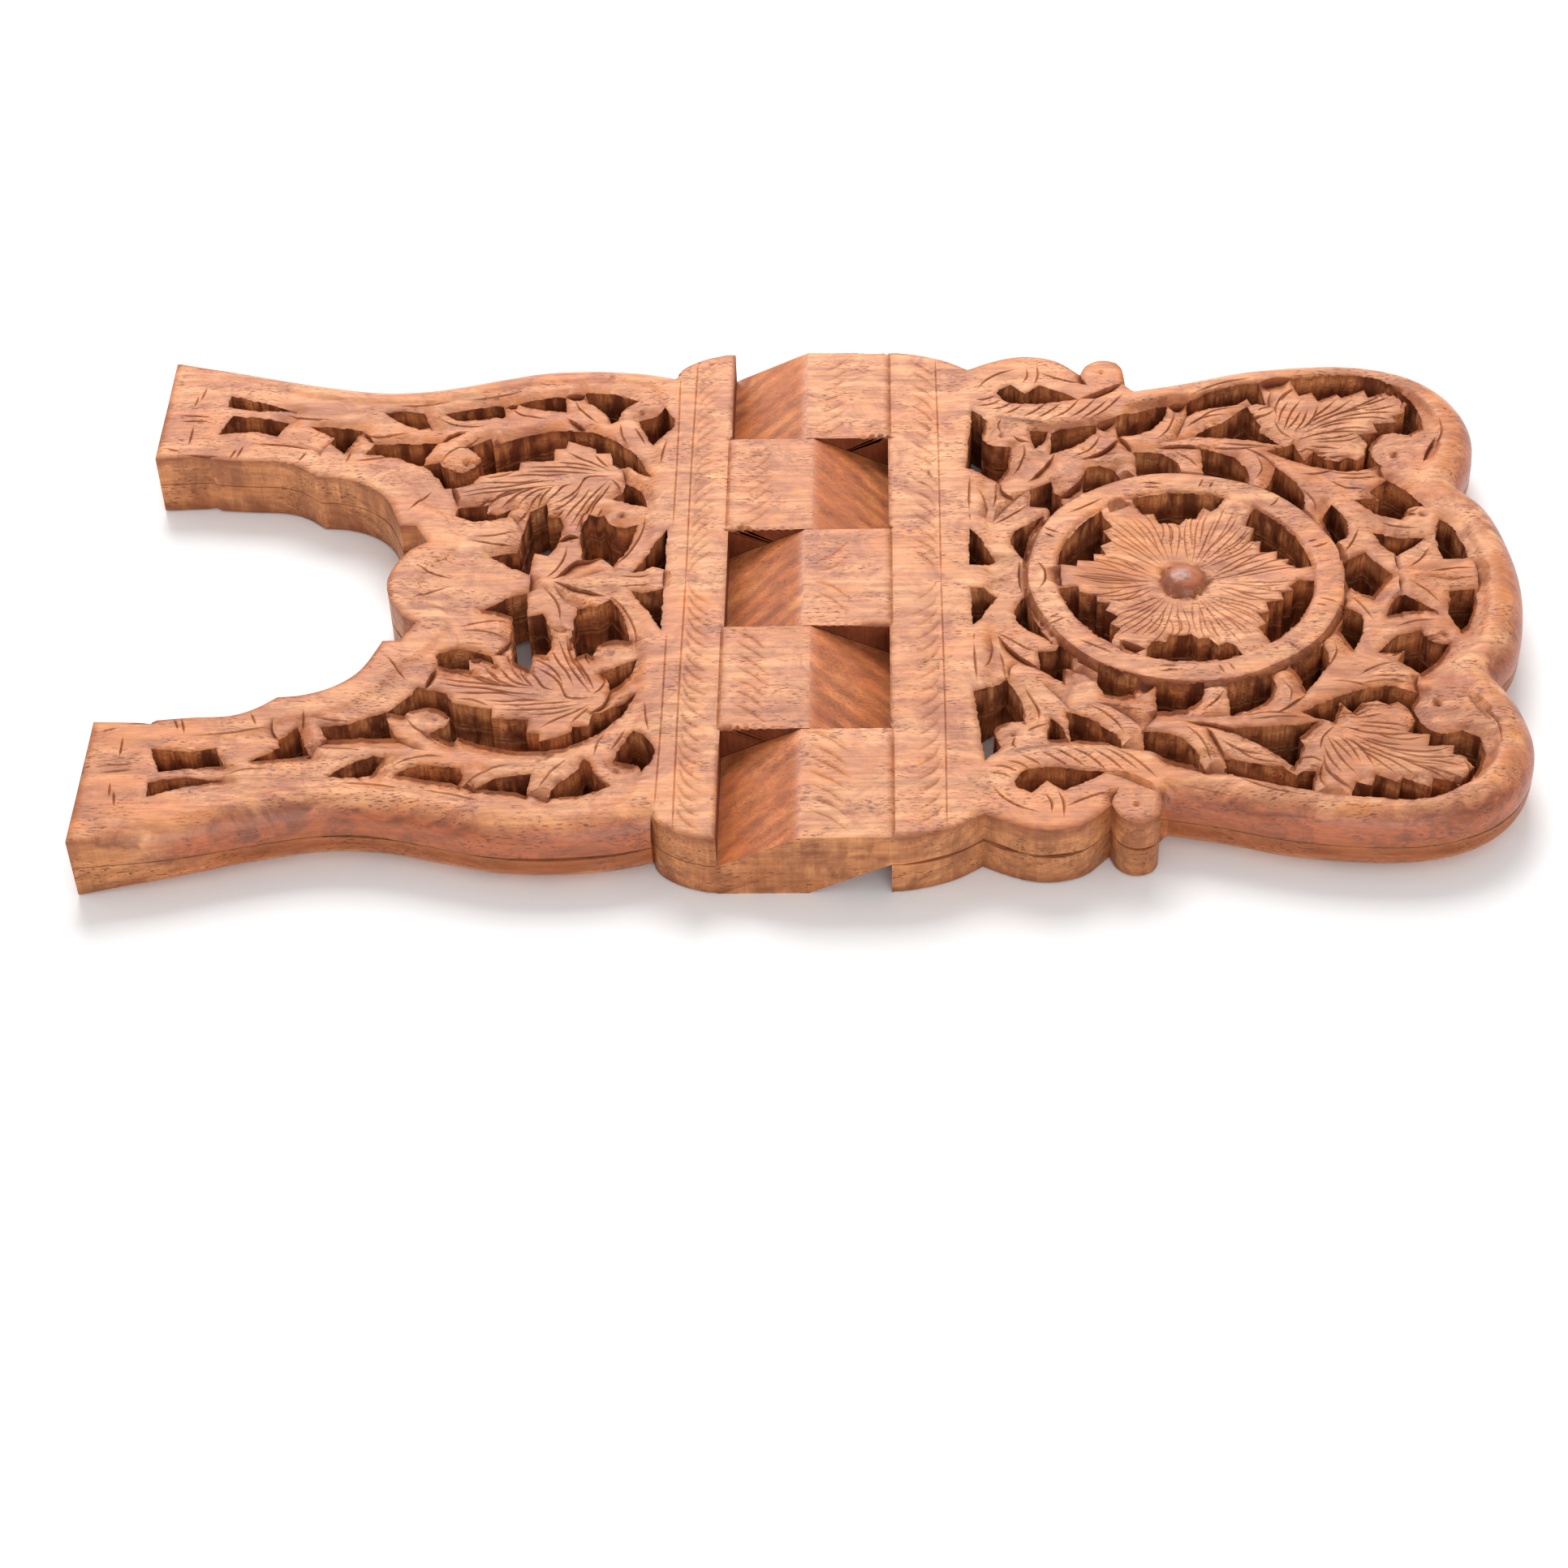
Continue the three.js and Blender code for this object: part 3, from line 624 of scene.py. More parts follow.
def carve(points, side, outer, holes):
    """Depth below the plank's face at each point, and its marks: cut (painted shade in the cuts,
    grooves, dots and torn fibres), edge, sunk (painted shade in the low parts, round the rims and in
    torn fibres, with oil soaked in there).
    """
    x, y = points.T
    v = np.abs(y)
    cuts, dots, dips = RELIEF[side]
    depth = 0.08 + 0.08 * np.sin(x / 5.3 + 1.7 * np.sin(y / 9.1)) * np.sin(y / 6.7 + x / 17)
    depth *= smooth((np.abs(x) - 44) / 6)
    for cx, cv, rx, rv, deep in dips:
        depth += deep * smooth((1 - np.hypot((x - cx) / rx, (v - cv) / rv)) / 0.3)
    rim = to_line(points, outer, RIM_REACH)[0]
    bevel, near_hole = bevels(points, holes)
    sunk = np.zeros(len(points))
    raised = np.zeros(len(points))
    # painted shade for the cut mark: darkens the knife cuts, the grooves round the boss and the ring,
    # the dots and the torn fibres
    cut_shade = np.zeros(len(points))
    if side > 0:
        angle = np.arctan2(y, x - RING_CENTRE)
        radius = np.hypot(x - RING_CENTRE, y) - ring_wave(angle)
        vine = smooth((x - 49) / 4) * smooth((radius - 45.6) / 0.9) * smooth((rim - 9.5) / 2.0)
        vine *= unit(smooth((x - 94) / 4) + smooth((72 - v) / 5))
        outer_groove = 1.6 * unit(1 - np.abs(radius - RING_OUTER) / 0.9) * smooth((x - 58) / 3)
        on_ring = (radius > RING_INNER - 0.1) & (radius < RING_OUTER)
        chamfer = 0.5 + 0.9 * np.abs(np.sin(2.5 * angle + 0.6))
        chamfer *= unit((radius - RING_SHOULDER) / 1.2)
        chamfer += 0.5 * unit(RING_LIP - radius)
        depth = np.where(on_ring, 0.15 + chamfer, depth)
        in_flower = smooth((RING_INNER + 0.4 - radius) / 0.8)
        dish = 0.4 + DISH_DEPTH * unit(1 - (radius / DISH_RADIUS) ** 2)
        depth += dish * in_flower
        boss_groove = unit(1 - np.abs(radius - BOSS - 0.5) / 0.9)
        depth += 0.8 * boss_groove - boss_height(x - RING_CENTRE, y)
        sunk = np.where(on_ring, 0, outer_groove)
        cut_shade = np.maximum(0.9 * boss_groove, 0.35 * outer_groove)
        bevel *= np.where(on_ring, 0.1, np.where(radius < RING_INNER, 0.5, 0.25 + 0.75 * vine))
    else:
        vine = smooth((-44 - x) / 4) * smooth((rim - 8.0) / 2.0) * smooth((x + 168) / 12)
        bevel *= 0.25 + 0.75 * vine
    depth += vine * (VINE_DEPTH + 0.3 * scoops(x, y)) + bevel
    for cut in cuts:
        near, deep, new = cut.measure(points)
        if len(near) == 0:
            continue
        sunk[near] = np.maximum(sunk[near], deep)
        raised[near] = np.minimum(raised[near], deep)
        cut_shade[near] = np.maximum(cut_shade[near], new)
    for cx, cv, radius, deep in dots:
        q = unit(1 - np.hypot(x - cx, v - cv) / radius)
        sunk = np.maximum(sunk, deep * smooth(q * 1.6))
        cut_shade = np.maximum(cut_shade, smooth(q * 1.6))
    depth += sunk + raised
    # painted shade for the sunk mark: darker in the deep parts, round the openings and along plain
    # rims, with oil soaked in there
    low_part = unit(depth / 6)
    if side > 0:
        low_part *= 1 - 0.8 * in_flower
    low_part = np.maximum(low_part, 0.65 * unit(1 - near_hole / 1.3))
    round_rim, at = to_line(points, rounding_line(outer, side), EDGE_ROUND)
    amount = np.where(round_rim < EDGE_ROUND - 0.01, rounded_part(at), 0)
    if side < 0:
        amount *= x < BLOCK_END
    inner = np.clip(EDGE_ROUND - round_rim, 0, EDGE_ROUND)
    drop = EDGE_ROUND - np.sqrt(np.maximum(EDGE_ROUND**2 - inner**2, 0))
    depth = np.maximum(depth, amount * drop) + 0.3 * amount * np.minimum(depth, drop)
    edge = amount * unit(inner / EDGE_ROUND)
    hinge_line = np.abs(np.abs(x) - POCKET) < ON_LINE
    plain_rim = np.where((amount < 0.5) & ~hinge_line, rim, 2.0)
    depth += 0.45 * unit(1 - plain_rim / 1.1)
    low_part = np.maximum(low_part, 0.7 * unit(1 - plain_rim / 1.4))
    depth += np.where(hinge_line, 0, 0.22 * (1 - unit(near_hole / 0.5)) ** 2)
    torn = torn_edge(x, y)
    depth = np.clip(depth + torn, 0, PLY - HALF_GAP - LEAST_WOOD)
    # painted shade in the torn fibres, in both the sunk and the cut mark
    low_part = np.maximum(low_part, unit(2 * torn))
    cut_shade = np.maximum(cut_shade, np.clip(0.7 * torn, 0, 0.8))
    return depth, np.column_stack([unit(cut_shade), edge, low_part])


def steepness(xy, tris, depth):
    """How steeply the carved face lies at each point: 0 flat, 1 from about 50 degrees."""
    a, b, c = (np.column_stack([xy, depth])[tris[:, k]] for k in range(3))
    normal = np.cross(b - a, c - a)
    total = np.zeros((len(xy), 3))
    for k in range(3):
        np.add.at(total, tris[:, k], normal)
    flat = np.abs(total[:, 2]) / np.maximum(np.linalg.norm(total, axis=1), TINY)
    return unit((0.97 - flat) / 0.33)


def inside_rows(loops, rows, xs):
    """Grid points inside the outline and outside its openings."""
    a = np.vstack(loops)
    b = np.vstack([np.roll(p, -1, axis=0) for p in loops])
    found = []
    for number, row in enumerate(rows):
        cross = (a[:, 1] > row) != (b[:, 1] > row)
        p, q = a[cross], b[cross]
        hits = np.sort(p[:, 0] + (row - p[:, 1]) * (q[:, 0] - p[:, 0]) / (q[:, 1] - p[:, 1]))
        shifted = xs + (0.5 * GRID_STEP if number % 2 else 0)
        kept = shifted[np.searchsorted(hits, shifted) % 2 == 1]
        found.append(np.column_stack([kept, np.full(len(kept), row)]))
    return np.vstack(found)


def circle(radius):
    """A circle round the flower as the hand-cut ring strays from it."""
    angle = np.linspace(0, 2 * math.pi, round(2 * math.pi * radius / GRID_STEP) + 1)
    radius = radius + ring_wave(angle)
    return np.column_stack([RING_CENTRE + radius * np.cos(angle), radius * np.sin(angle)])


def numbered(loops):
    """Corner numbers of each outline when their points stand in one list."""
    ends = np.cumsum([len(loop) for loop in loops]).tolist()
    return [list(range(end - len(loop), end)) for loop, end in zip(loops, ends)]


def tree_of(points):
    """A search tree of plan points."""
    tree = KDTree(len(points))
    for i, (x, y) in enumerate(points):
        tree.insert((x, y, 0), i)
    tree.balance()
    return tree


def fill(xy, edges, faces, gap):
    """Triangles inside the first outline and outside the others, with all points and origins."""
    given = [Vector((float(x), float(y))) for x, y in xy]
    out, _, tris, origins, _, wholes = delaunay_2d_cdt(given, edges, faces, 0, gap)
    return out, [t for t, whole in zip(tris, wholes) if list(whole) == [0]], origins


def face_up(xy, tris):
    """Turns over the triangles that face down."""
    p = xy[tris]
    turn = np.cross(p[:, 1] - p[:, 0], p[:, 2] - p[:, 0])
    tris[turn < 0] = tris[turn < 0][:, ::-1]
    return tris


def triangulate(outer, holes, lines, fixed):
    """Triangles over a plan region, following its outlines and the given lines."""
    loops = [outer, *holes]
    numbers = numbered([*loops, *lines])
    edges = [(i, i + 1) for line in numbers[len(loops) :] for i in line[:-1]]
    taken = np.vstack([*loops, *lines])
    tree = tree_of(taken)
    low, high = outer.min(0), outer.max(0)
    rows = np.arange(low[1] + 0.5, high[1], GRID_STEP * 0.866)
    xs = np.arange(low[0] - 1, high[0] + 1, GRID_STEP)
    for group, clearance in [*fixed, (inside_rows(loops, rows, xs), 0.62 * GRID_STEP)]:
        kept = [p for p in group if tree.find((p[0], p[1], 0))[2] > clearance]
        if kept:
            taken = np.vstack([taken, kept])
            tree = tree_of(taken)
    out, tris, origins = fill(taken, edges, numbers[: len(loops)], 1e-5)
    xy = np.array([(p.x, p.y) for p in out])
    for i, origin in enumerate(origins):
        if origin:
            xy[i] = taken[origin[0]]
    used, inverse = np.unique(tris, return_inverse=True)
    return xy[used], face_up(xy[used], inverse.reshape(-1, 3))


def backing(xy, loops):
    """Triangles of the plain inner face, on the same rim points as the carved face."""
    order = [i for loop in loops for i in loop]
    faces = [face[::-1] if number else face for number, face in enumerate(numbered(loops))]
    _, tris, origins = fill(xy[order], [], faces, 1e-6)
    return face_up(xy, np.array([[order[origins[i][0]] for i in t] for t in tris], int))


# rows of points beside the rounded edge: distance from it and clearance, and beside other rims
ROUNDED_ROWS = {0.16: 0.1, 0.5: 0.28, 1.1: 0.4, 1.9: 0.6, 3.0: 0.6, 4.3: 0.6}
RIM_ROW = 0.5
RIM_CLEARANCE = 0.35


class Half:
    """The carved book rest (side 1) or legs (side -1), as if it were the upper ply."""

    def __init__(self, side):
        self.side = side
        outer, holes = plan(side)
        lines = []
        for cut in RELIEF[side][0]:
            if (side * cut.line[:, 0] > POCKET + 0.5).all():
                lines += cut.side_lines()
        if side > 0:
            lines += [circle(radius) for radius in RING_EDGES]
        keep = rounded_part(outer) > 0.02
        rows = offset_rows(outer, 1, ROUNDED_ROWS)
        fixed = [(row[keep], clearance) for row, clearance in zip(rows, ROUNDED_ROWS.values())]
        fixed += [(offset_rows(outer, 1, (RIM_ROW,))[0][~keep], RIM_CLEARANCE)]
        fixed += [(offset_rows(hole, -1, (RIM_ROW,))[0], RIM_CLEARANCE) for hole in holes]
        self.xy, self.tris = triangulate(outer, holes, lines, fixed)
        self.depth, self.marks = carve(self.xy, side, outer, holes)
        # painted shade on steep carved faces, with oil soaked into the end grain there, put in the sunk
        # mark
        steep = steepness(self.xy, self.tris, self.depth) * (self.marks[:, 1] < 0.02)
        self.marks[:, 2] = np.maximum(self.marks[:, 2], steep)
        loops = chain(rim_edges(self.tris))
        areas = [abs(area(self.xy[loop])) for loop in loops]
        self.loops = [loops[i] for i in np.argsort(areas)[::-1]]
        self.back = backing(self.xy, self.loops)
        self.outer = outer

    def tongue(self, index):
        """Top of one knuckle, from the end of the leaf to the crown past the hinge line."""
        low, high = column(index)
        rows = rows_in(low, high)
        end = -self.side * CROWN
        start = self.side * POCKET
        count = round((POCKET + CROWN) / 1.2)
        across = np.linspace(start, end, count + 1)
        first = [(x, low) for x in across[:-1]]
        far = [(end, y) for y in rows[:-1]]
        second = [(x, high) for x in across[:0:-1]]
        near = [(start, y) for y in rows[:0:-1]]
        loop = np.array(first + far + second + near)
        loop = loop if area(loop) > 0 else loop[::-1]
        lines = []
        for cut in RELIEF[self.side][0]:
            if len(in_box(cut.line, loop.min(0) + 0.6, loop.max(0) - 0.6)) == len(cut.line):
                lines += cut.side_lines()
        xy, tris = triangulate(loop, [], lines, [])
        depth, marks = carve(xy, self.side, self.outer, [])
        return xy, tris, depth, marks


CARVED, PLAIN, SIDE, SAWN, POCKET_FACE, BOSS_FACE, POCKET_WALL = range(7)
# (x, half length, how far each rim draws back)
GAP_PLACES = [
    (-62, 32, 0.5), (-120, 13, 0.35), (36, 12, 0.5), (52, 9, 0.7),
    (68, 10, 0.6), (89, 8, 0.35), (187, 14, 0.25),
]


WELDS_PER_MM = 2000
SLANT_STEPS = 8


class Body:
    """Collects welded corners and faces, then makes one mesh of them."""

    def __init__(self):
        self.index = {}
        self.points = []
        self.marks = []
        self.faces = []
        self.kinds = []

    def add(self, x, y, z, marks=(0.0, 0.0, 0.0)):
        """The number of a corner, new or welded to one already there."""
        key = tuple(round(value * WELDS_PER_MM) for value in (x, y, z))
        if key not in self.index:
            self.index[key] = len(self.points)
            self.points.append((x, y, z))
            self.marks.append(marks)
        return self.index[key]

    def add_carved(self, xy, depth, marks, up):
        """Corners of a carved face that lies above (up 1) or below (up -1) the middle plane."""
        return [self.add(x, y, up * (PLY - d), m) for (x, y), d, m in zip(xy, depth, marks)]

    def face(self, corners, kind, flip):
        """One face; corners welded to their neighbours count once."""
        corners = [c for i, c in enumerate(corners) if c != corners[i - 1]]
        if len(corners) < 3:
            return
        self.faces.append(corners[::-1] if flip else corners)
        self.kinds.append(kind)


def wall_height(top, level):
    """Height of a wall's middle rows: level 1 and 2 down from the carved face."""
    return HALF_GAP + (top - HALF_GAP) * (3 - level) / 3


def gap_opening(x):
    """How far the plies' outer rims have drawn apart at that distance from the hinge."""
    opening = 0.0
    for middle, reach, extra in GAP_PLACES:
        opening = max(opening, extra * float(smooth(1 - abs(x - middle) / reach)))
    return opening * float(smooth((abs(x) - POCKET - 1) / 3))


def wall_wobble(x, y, level):
    """How far a point of an opening's wall strays from the upright."""
    return 0.10 * math.sin(x * 1.9 + level * 2.3) * math.sin(y * 1.7 + level * 1.1)


def add_half(body, half, up):
    """The half's carved face, inner face and walls. up is 1 for the upper ply."""
    flip = up < 0
    top = body.add_carved(half.xy, half.depth, half.marks, up)
    on_boss = np.hypot(half.xy[:, 0] - RING_CENTRE, half.xy[:, 1]) < BOSS + 0.3
    for a, b, c in half.tris:
        kind = BOSS_FACE if on_boss[a] and on_boss[b] and on_boss[c] else CARVED
        body.face([top[a], top[b], top[c]], kind, flip)
    low = {}
    for number, loop in enumerate(half.loops):
        for i in loop:
            x, y = half.xy[i]
            height = HALF_GAP + (WORN_RIM if number else gap_opening(x))
            low[i] = body.add(x, y, up * height, (0, half.marks[i][1], 0))
    for a, b, c in half.back:
        body.face([low[a], low[b], low[c]], PLAIN, not flip)
    for number, loop in enumerate(half.loops):
        kind = SAWN if number else SIDE
        ring = half.xy[loop]
        across = offset_rows(ring, 1, (1,))[0] - ring
        levels = [[top[i] for i in loop]]
        # the lower middle row of an opening's wall carries painted shade deep in the opening (sunk mark
        # 0.9)
        for level in (1, WALL_SHADE_LEVEL if number else 2):
            row = []
            for k, i in enumerate(loop):
                x, y = ring[k]
                z = wall_height(PLY - half.depth[i], level)
                move = wall_wobble(x, y, level) if number else 0
                marks = (0, half.marks[i][1], 0.9 if level == WALL_SHADE_LEVEL else 0)
                row.append(body.add(x + across[k, 0] * move, y + across[k, 1] * move, up * z, marks))
            levels.append(row)
        levels.append([low[i] for i in loop])
        for k in range(len(loop)):
            n = (k + 1) % len(loop)
            a, b = ring[k], ring[n]
            on_line = max(abs(abs(a[0]) - POCKET), abs(abs(b[0]) - POCKET)) < ON_LINE
            if on_line and body.owns((a[1] + b[1]) / 2):
                continue
            own_kind = POCKET_WALL if on_line else kind
            for upper, lower in zip(levels, levels[1:]):
                body.face([upper[k], lower[k], lower[n], upper[n]], own_kind, flip)


def add_knuckle(body, index, rest, legs, up):
    """One knuckle: two tongues, two slanted faces and two side walls."""
    low, high = column(index)
    rows = rows_in(low, high)
    ends = {}
    for half, sign in ((rest, up), (legs, -up)):
        xy, tris, depth, marks = half.tongue(index)
        top = body.add_carved(xy, depth, marks, sign)
        for a, b, c in tris:
            body.face([top[a], top[b], top[c]], CARVED, sign < 0)
        line = {}
        crown_line = ("end", -half.side * CROWN, 0)
        for name, value, axis in (("low", low, 1), ("high", high, 1), crown_line):
            on = np.flatnonzero(np.abs(xy[:, axis] - value) < 1e-6)
            on = on[np.argsort(xy[on, 1 - axis])]
            line[name] = [top[i] for i in on]
        ends[half.side] = line
    # slanted faces, from each crown line to the end of the other half's inner face
    for half, sign in ((rest, up), (legs, -up)):
        crown = ends[half.side]["end"]
        x_foot, z_foot = -half.side * POCKET, -sign * HALF_GAP
        lines = [crown]
        for step in range(1, SLANT_STEPS):
            line = []
            for k, y in enumerate(rows):
                px, _, pz = body.points[crown[k]]
                t = step / SLANT_STEPS
                line.append(body.add(px + (x_foot - px) * t, y, pz + (z_foot - pz) * t))
            lines.append(line)
        lines.append([body.add(x_foot, y, z_foot) for y in rows])
        for first, second in zip(lines, lines[1:]):
            for k in range(len(rows) - 1):
                quad = [first[k], first[k + 1], second[k + 1], second[k]]
                body.face(quad, POCKET_FACE, half.side * sign < 0)
        ends[half.side]["slant"] = lines
    for name, y, pick in (("low", low, 0), ("high", high, -1)):
        kind = SIDE if abs(y) > HALF_WIDTH - 0.1 else POCKET_WALL
        # round the wall: rest top, down its end, back under the legs' crown, and the same again
        loop = []
        for own, other, sign, step in ((ends[1], ends[-1], up, 1), (ends[-1], ends[1], -up, -1)):
            top_line = own[name][::step]
            corner_height = abs(body.points[top_line[-1]][2])
            loop += top_line
            for level in (1, 2, 3):
                loop.append(body.add(step * POCKET, y, sign * wall_height(corner_height, level)))
            loop += [line[pick] for line in other["slant"][::-1]][1:-1]
        # the middle corner of a pocket wall carries painted shade (sunk mark 1) where the knuckles meet
        middle = body.add(0, y, 0, (0, 0, 1 if kind == POCKET_WALL else 0))
        for i, corner in enumerate(loop):
            body.face([middle, loop[i - 1], corner], kind, (name == "high") != (up > 0))


def placed(name, data):
    """A new object in the scene."""
    obj = bpy.data.objects.new(name, data)
    bpy.context.scene.collection.objects.link(obj)
    return obj


def make_leaf(name, rest, legs, up, columns):
    """up is 1 where the book rest is the upper ply."""
    body = Body()
    spans = [column(i) for i in columns]
    body.owns = lambda y: any(low <= y <= high for low, high in spans)
    add_half(body, rest, up)
    add_half(body, legs, -up)
    for index in columns:
        add_knuckle(body, index, rest, legs, up)
    used = np.unique([i for face in body.faces for i in face])
    place = np.zeros(len(body.points), int)
    place[used] = np.arange(len(used))
    points = np.array(body.points)[used]
    marks = np.array(body.marks, np.float32)[used]
    mesh = bpy.data.meshes.new(name)
    mesh.from_pydata((points + HINGE) * MM, [], [[int(place[i]) for i in face] for face in body.faces])
    mesh.polygons.foreach_set("material_index", body.kinds)
    for key, values in zip(("cut", "edge", "sunk"), marks.T):
        attribute = mesh.attributes.new(key, "FLOAT", "POINT")
        attribute.data.foreach_set("value", np.ascontiguousarray(values))
    mesh.polygons.foreach_set("use_smooth", [True] * len(mesh.polygons))
    mesh.set_sharp_from_angle(angle=SHARP_ANGLE)
    mesh.validate()
    return placed(name, mesh)


# ---- materials


class Graph:
    """Short way to write a node material."""

    def __init__(self, name):
        self.material = bpy.data.materials.new(name)
        self.material.use_nodes = True
        self.tree = self.material.node_tree
        self.shader = self.tree.nodes["Principled BSDF"]

    def node(self, kind, inputs=None, **settings):
        n = self.tree.nodes.new(kind)
        for key, value in settings.items():
            setattr(n, key, value)
        for key, value in (inputs or {}).items():
            self.put(n, key, value)
        return n

    def put(self, n, key, value):
        """Links or sets one input."""
        if isinstance(value, bpy.types.NodeSocket):
            self.tree.links.new(value, n.inputs[key])
        else:
            n.inputs[key].default_value = value

    def finish(self, **inputs):
        """Sets the shader's inputs, with spaces in their names written as underscores."""
        for key, value in inputs.items():
            self.put(self.shader, key.replace("_", " "), value)
        return self.material

    def maths(self, operation, a, b=0.0):
        return self.node("ShaderNodeMath", {0: a, 1: b}, operation=operation).outputs[0]

    def times(self, a, b):
        return self.maths("MULTIPLY", a, b)

    def mix(self, share, a, b, blend="MIX"):
        n = self.node("ShaderNodeMix", {0: share, 6: a, 7: b}, data_type="RGBA", blend_type=blend)
        return n.outputs[2]

    def span(self, value, low, high, out_low=0.0, out_high=1.0):
        inputs = {0: value, 1: low, 2: high, 3: out_low, 4: out_high}
        return self.node("ShaderNodeMapRange", inputs, clamp=True).outputs[0]

    def noise(self, place, stretch, detail=2.0, roughness=0.5, distortion=0.0):
        place = self.node("ShaderNodeMapping", {"Vector": place, "Scale": stretch}).outputs[0]
        inputs = {"Vector": place, "Scale": 1.0, "Detail": detail,
                  "Roughness": roughness, "Distortion": distortion}
        return self.node("ShaderNodeTexNoise", inputs).outputs["Fac"]

    def mark(self, name):
        return self.node("ShaderNodeAttribute", attribute_name=name).outputs["Fac"]

    def height(self, place):
        return self.node("ShaderNodeSeparateXYZ", {0: place}).outputs[2]

    def grey(self, value):
        return self.node("ShaderNodeCombineColor", {0: value, 1: value, 2: value}).outputs[0]


def linear(red, green, blue):
    """An 8-bit display colour as the linear colour that a shader takes."""
    values = [c / 255 for c in (red, green, blue)]
    return tuple(c / 12.92 if c <= 0.04045 else ((c + 0.055) / 1.055) ** 2.4 for c in values) + (1.0,)


LAYER_TILT = math.radians(-34)
RINGS_PER_METRE = 363.0
BUMP_STRENGTH = 0.45
BUMP_METRES = 0.0004
COAT_ROUGH = 0.32
COAT_IOR = 1.8
# heights in metres: below the first the lower ply, above the second the upper one
PLY_CHANGE = (0.0085, 0.0125)
# colour of the painted shade in the low parts, with oil soaked in there
SUNK_BROWN = linear(134, 71, 42)
EDGE_RED = linear(182, 92, 46)
EDGE_DARK = linear(136, 68, 36)
# tan of the lower ply's side, darker as painted shade under the rounding
SHADED_SIDE_TAN = linear(150, 78, 38)
# colour of the painted shade in the knife cuts
CUT_DARK = linear(104, 50, 32)
SAWN_DARK = linear(154, 84, 46)
SAWN_DEEP = linear(94, 40, 22)


def with_edge(g, colour, edge, smudge, flecks, upper):
    """The rounded edge: red-brown low down on the upper ply's side, partly the edge's own colour and
    partly painted shade; tan on the lower ply's, painted shade under the rounding.
    """
    # the red-brown band over the rounding is partly the edge's colour and partly painted shade
    band_reach = g.maths("ADD", edge, g.times(g.maths("SUBTRACT", smudge, 0.5), 0.7))
    red = g.times(g.span(band_reach, 0.42, 0.8), g.span(upper, 0.0, 1.0, 0.15, 0.95))
    spots = g.maths("MAXIMUM", g.span(smudge, 0.48, 0.62), g.span(flecks, 0.5, 0.62, 0.0, 0.5))
    colour = g.mix(red, colour, g.mix(spots, EDGE_RED, EDGE_DARK))
    # the tan low on the lower ply's side is painted shade under the rounding
    tan = g.times(g.span(edge, 0.86, 1.0), g.span(smudge, 0.62, 0.45, 0.5, 0.95))
    return g.mix(g.times(tan, g.span(upper, 0.0, 1.0, 1.0, 0.2)), colour, SHADED_SIDE_TAN)


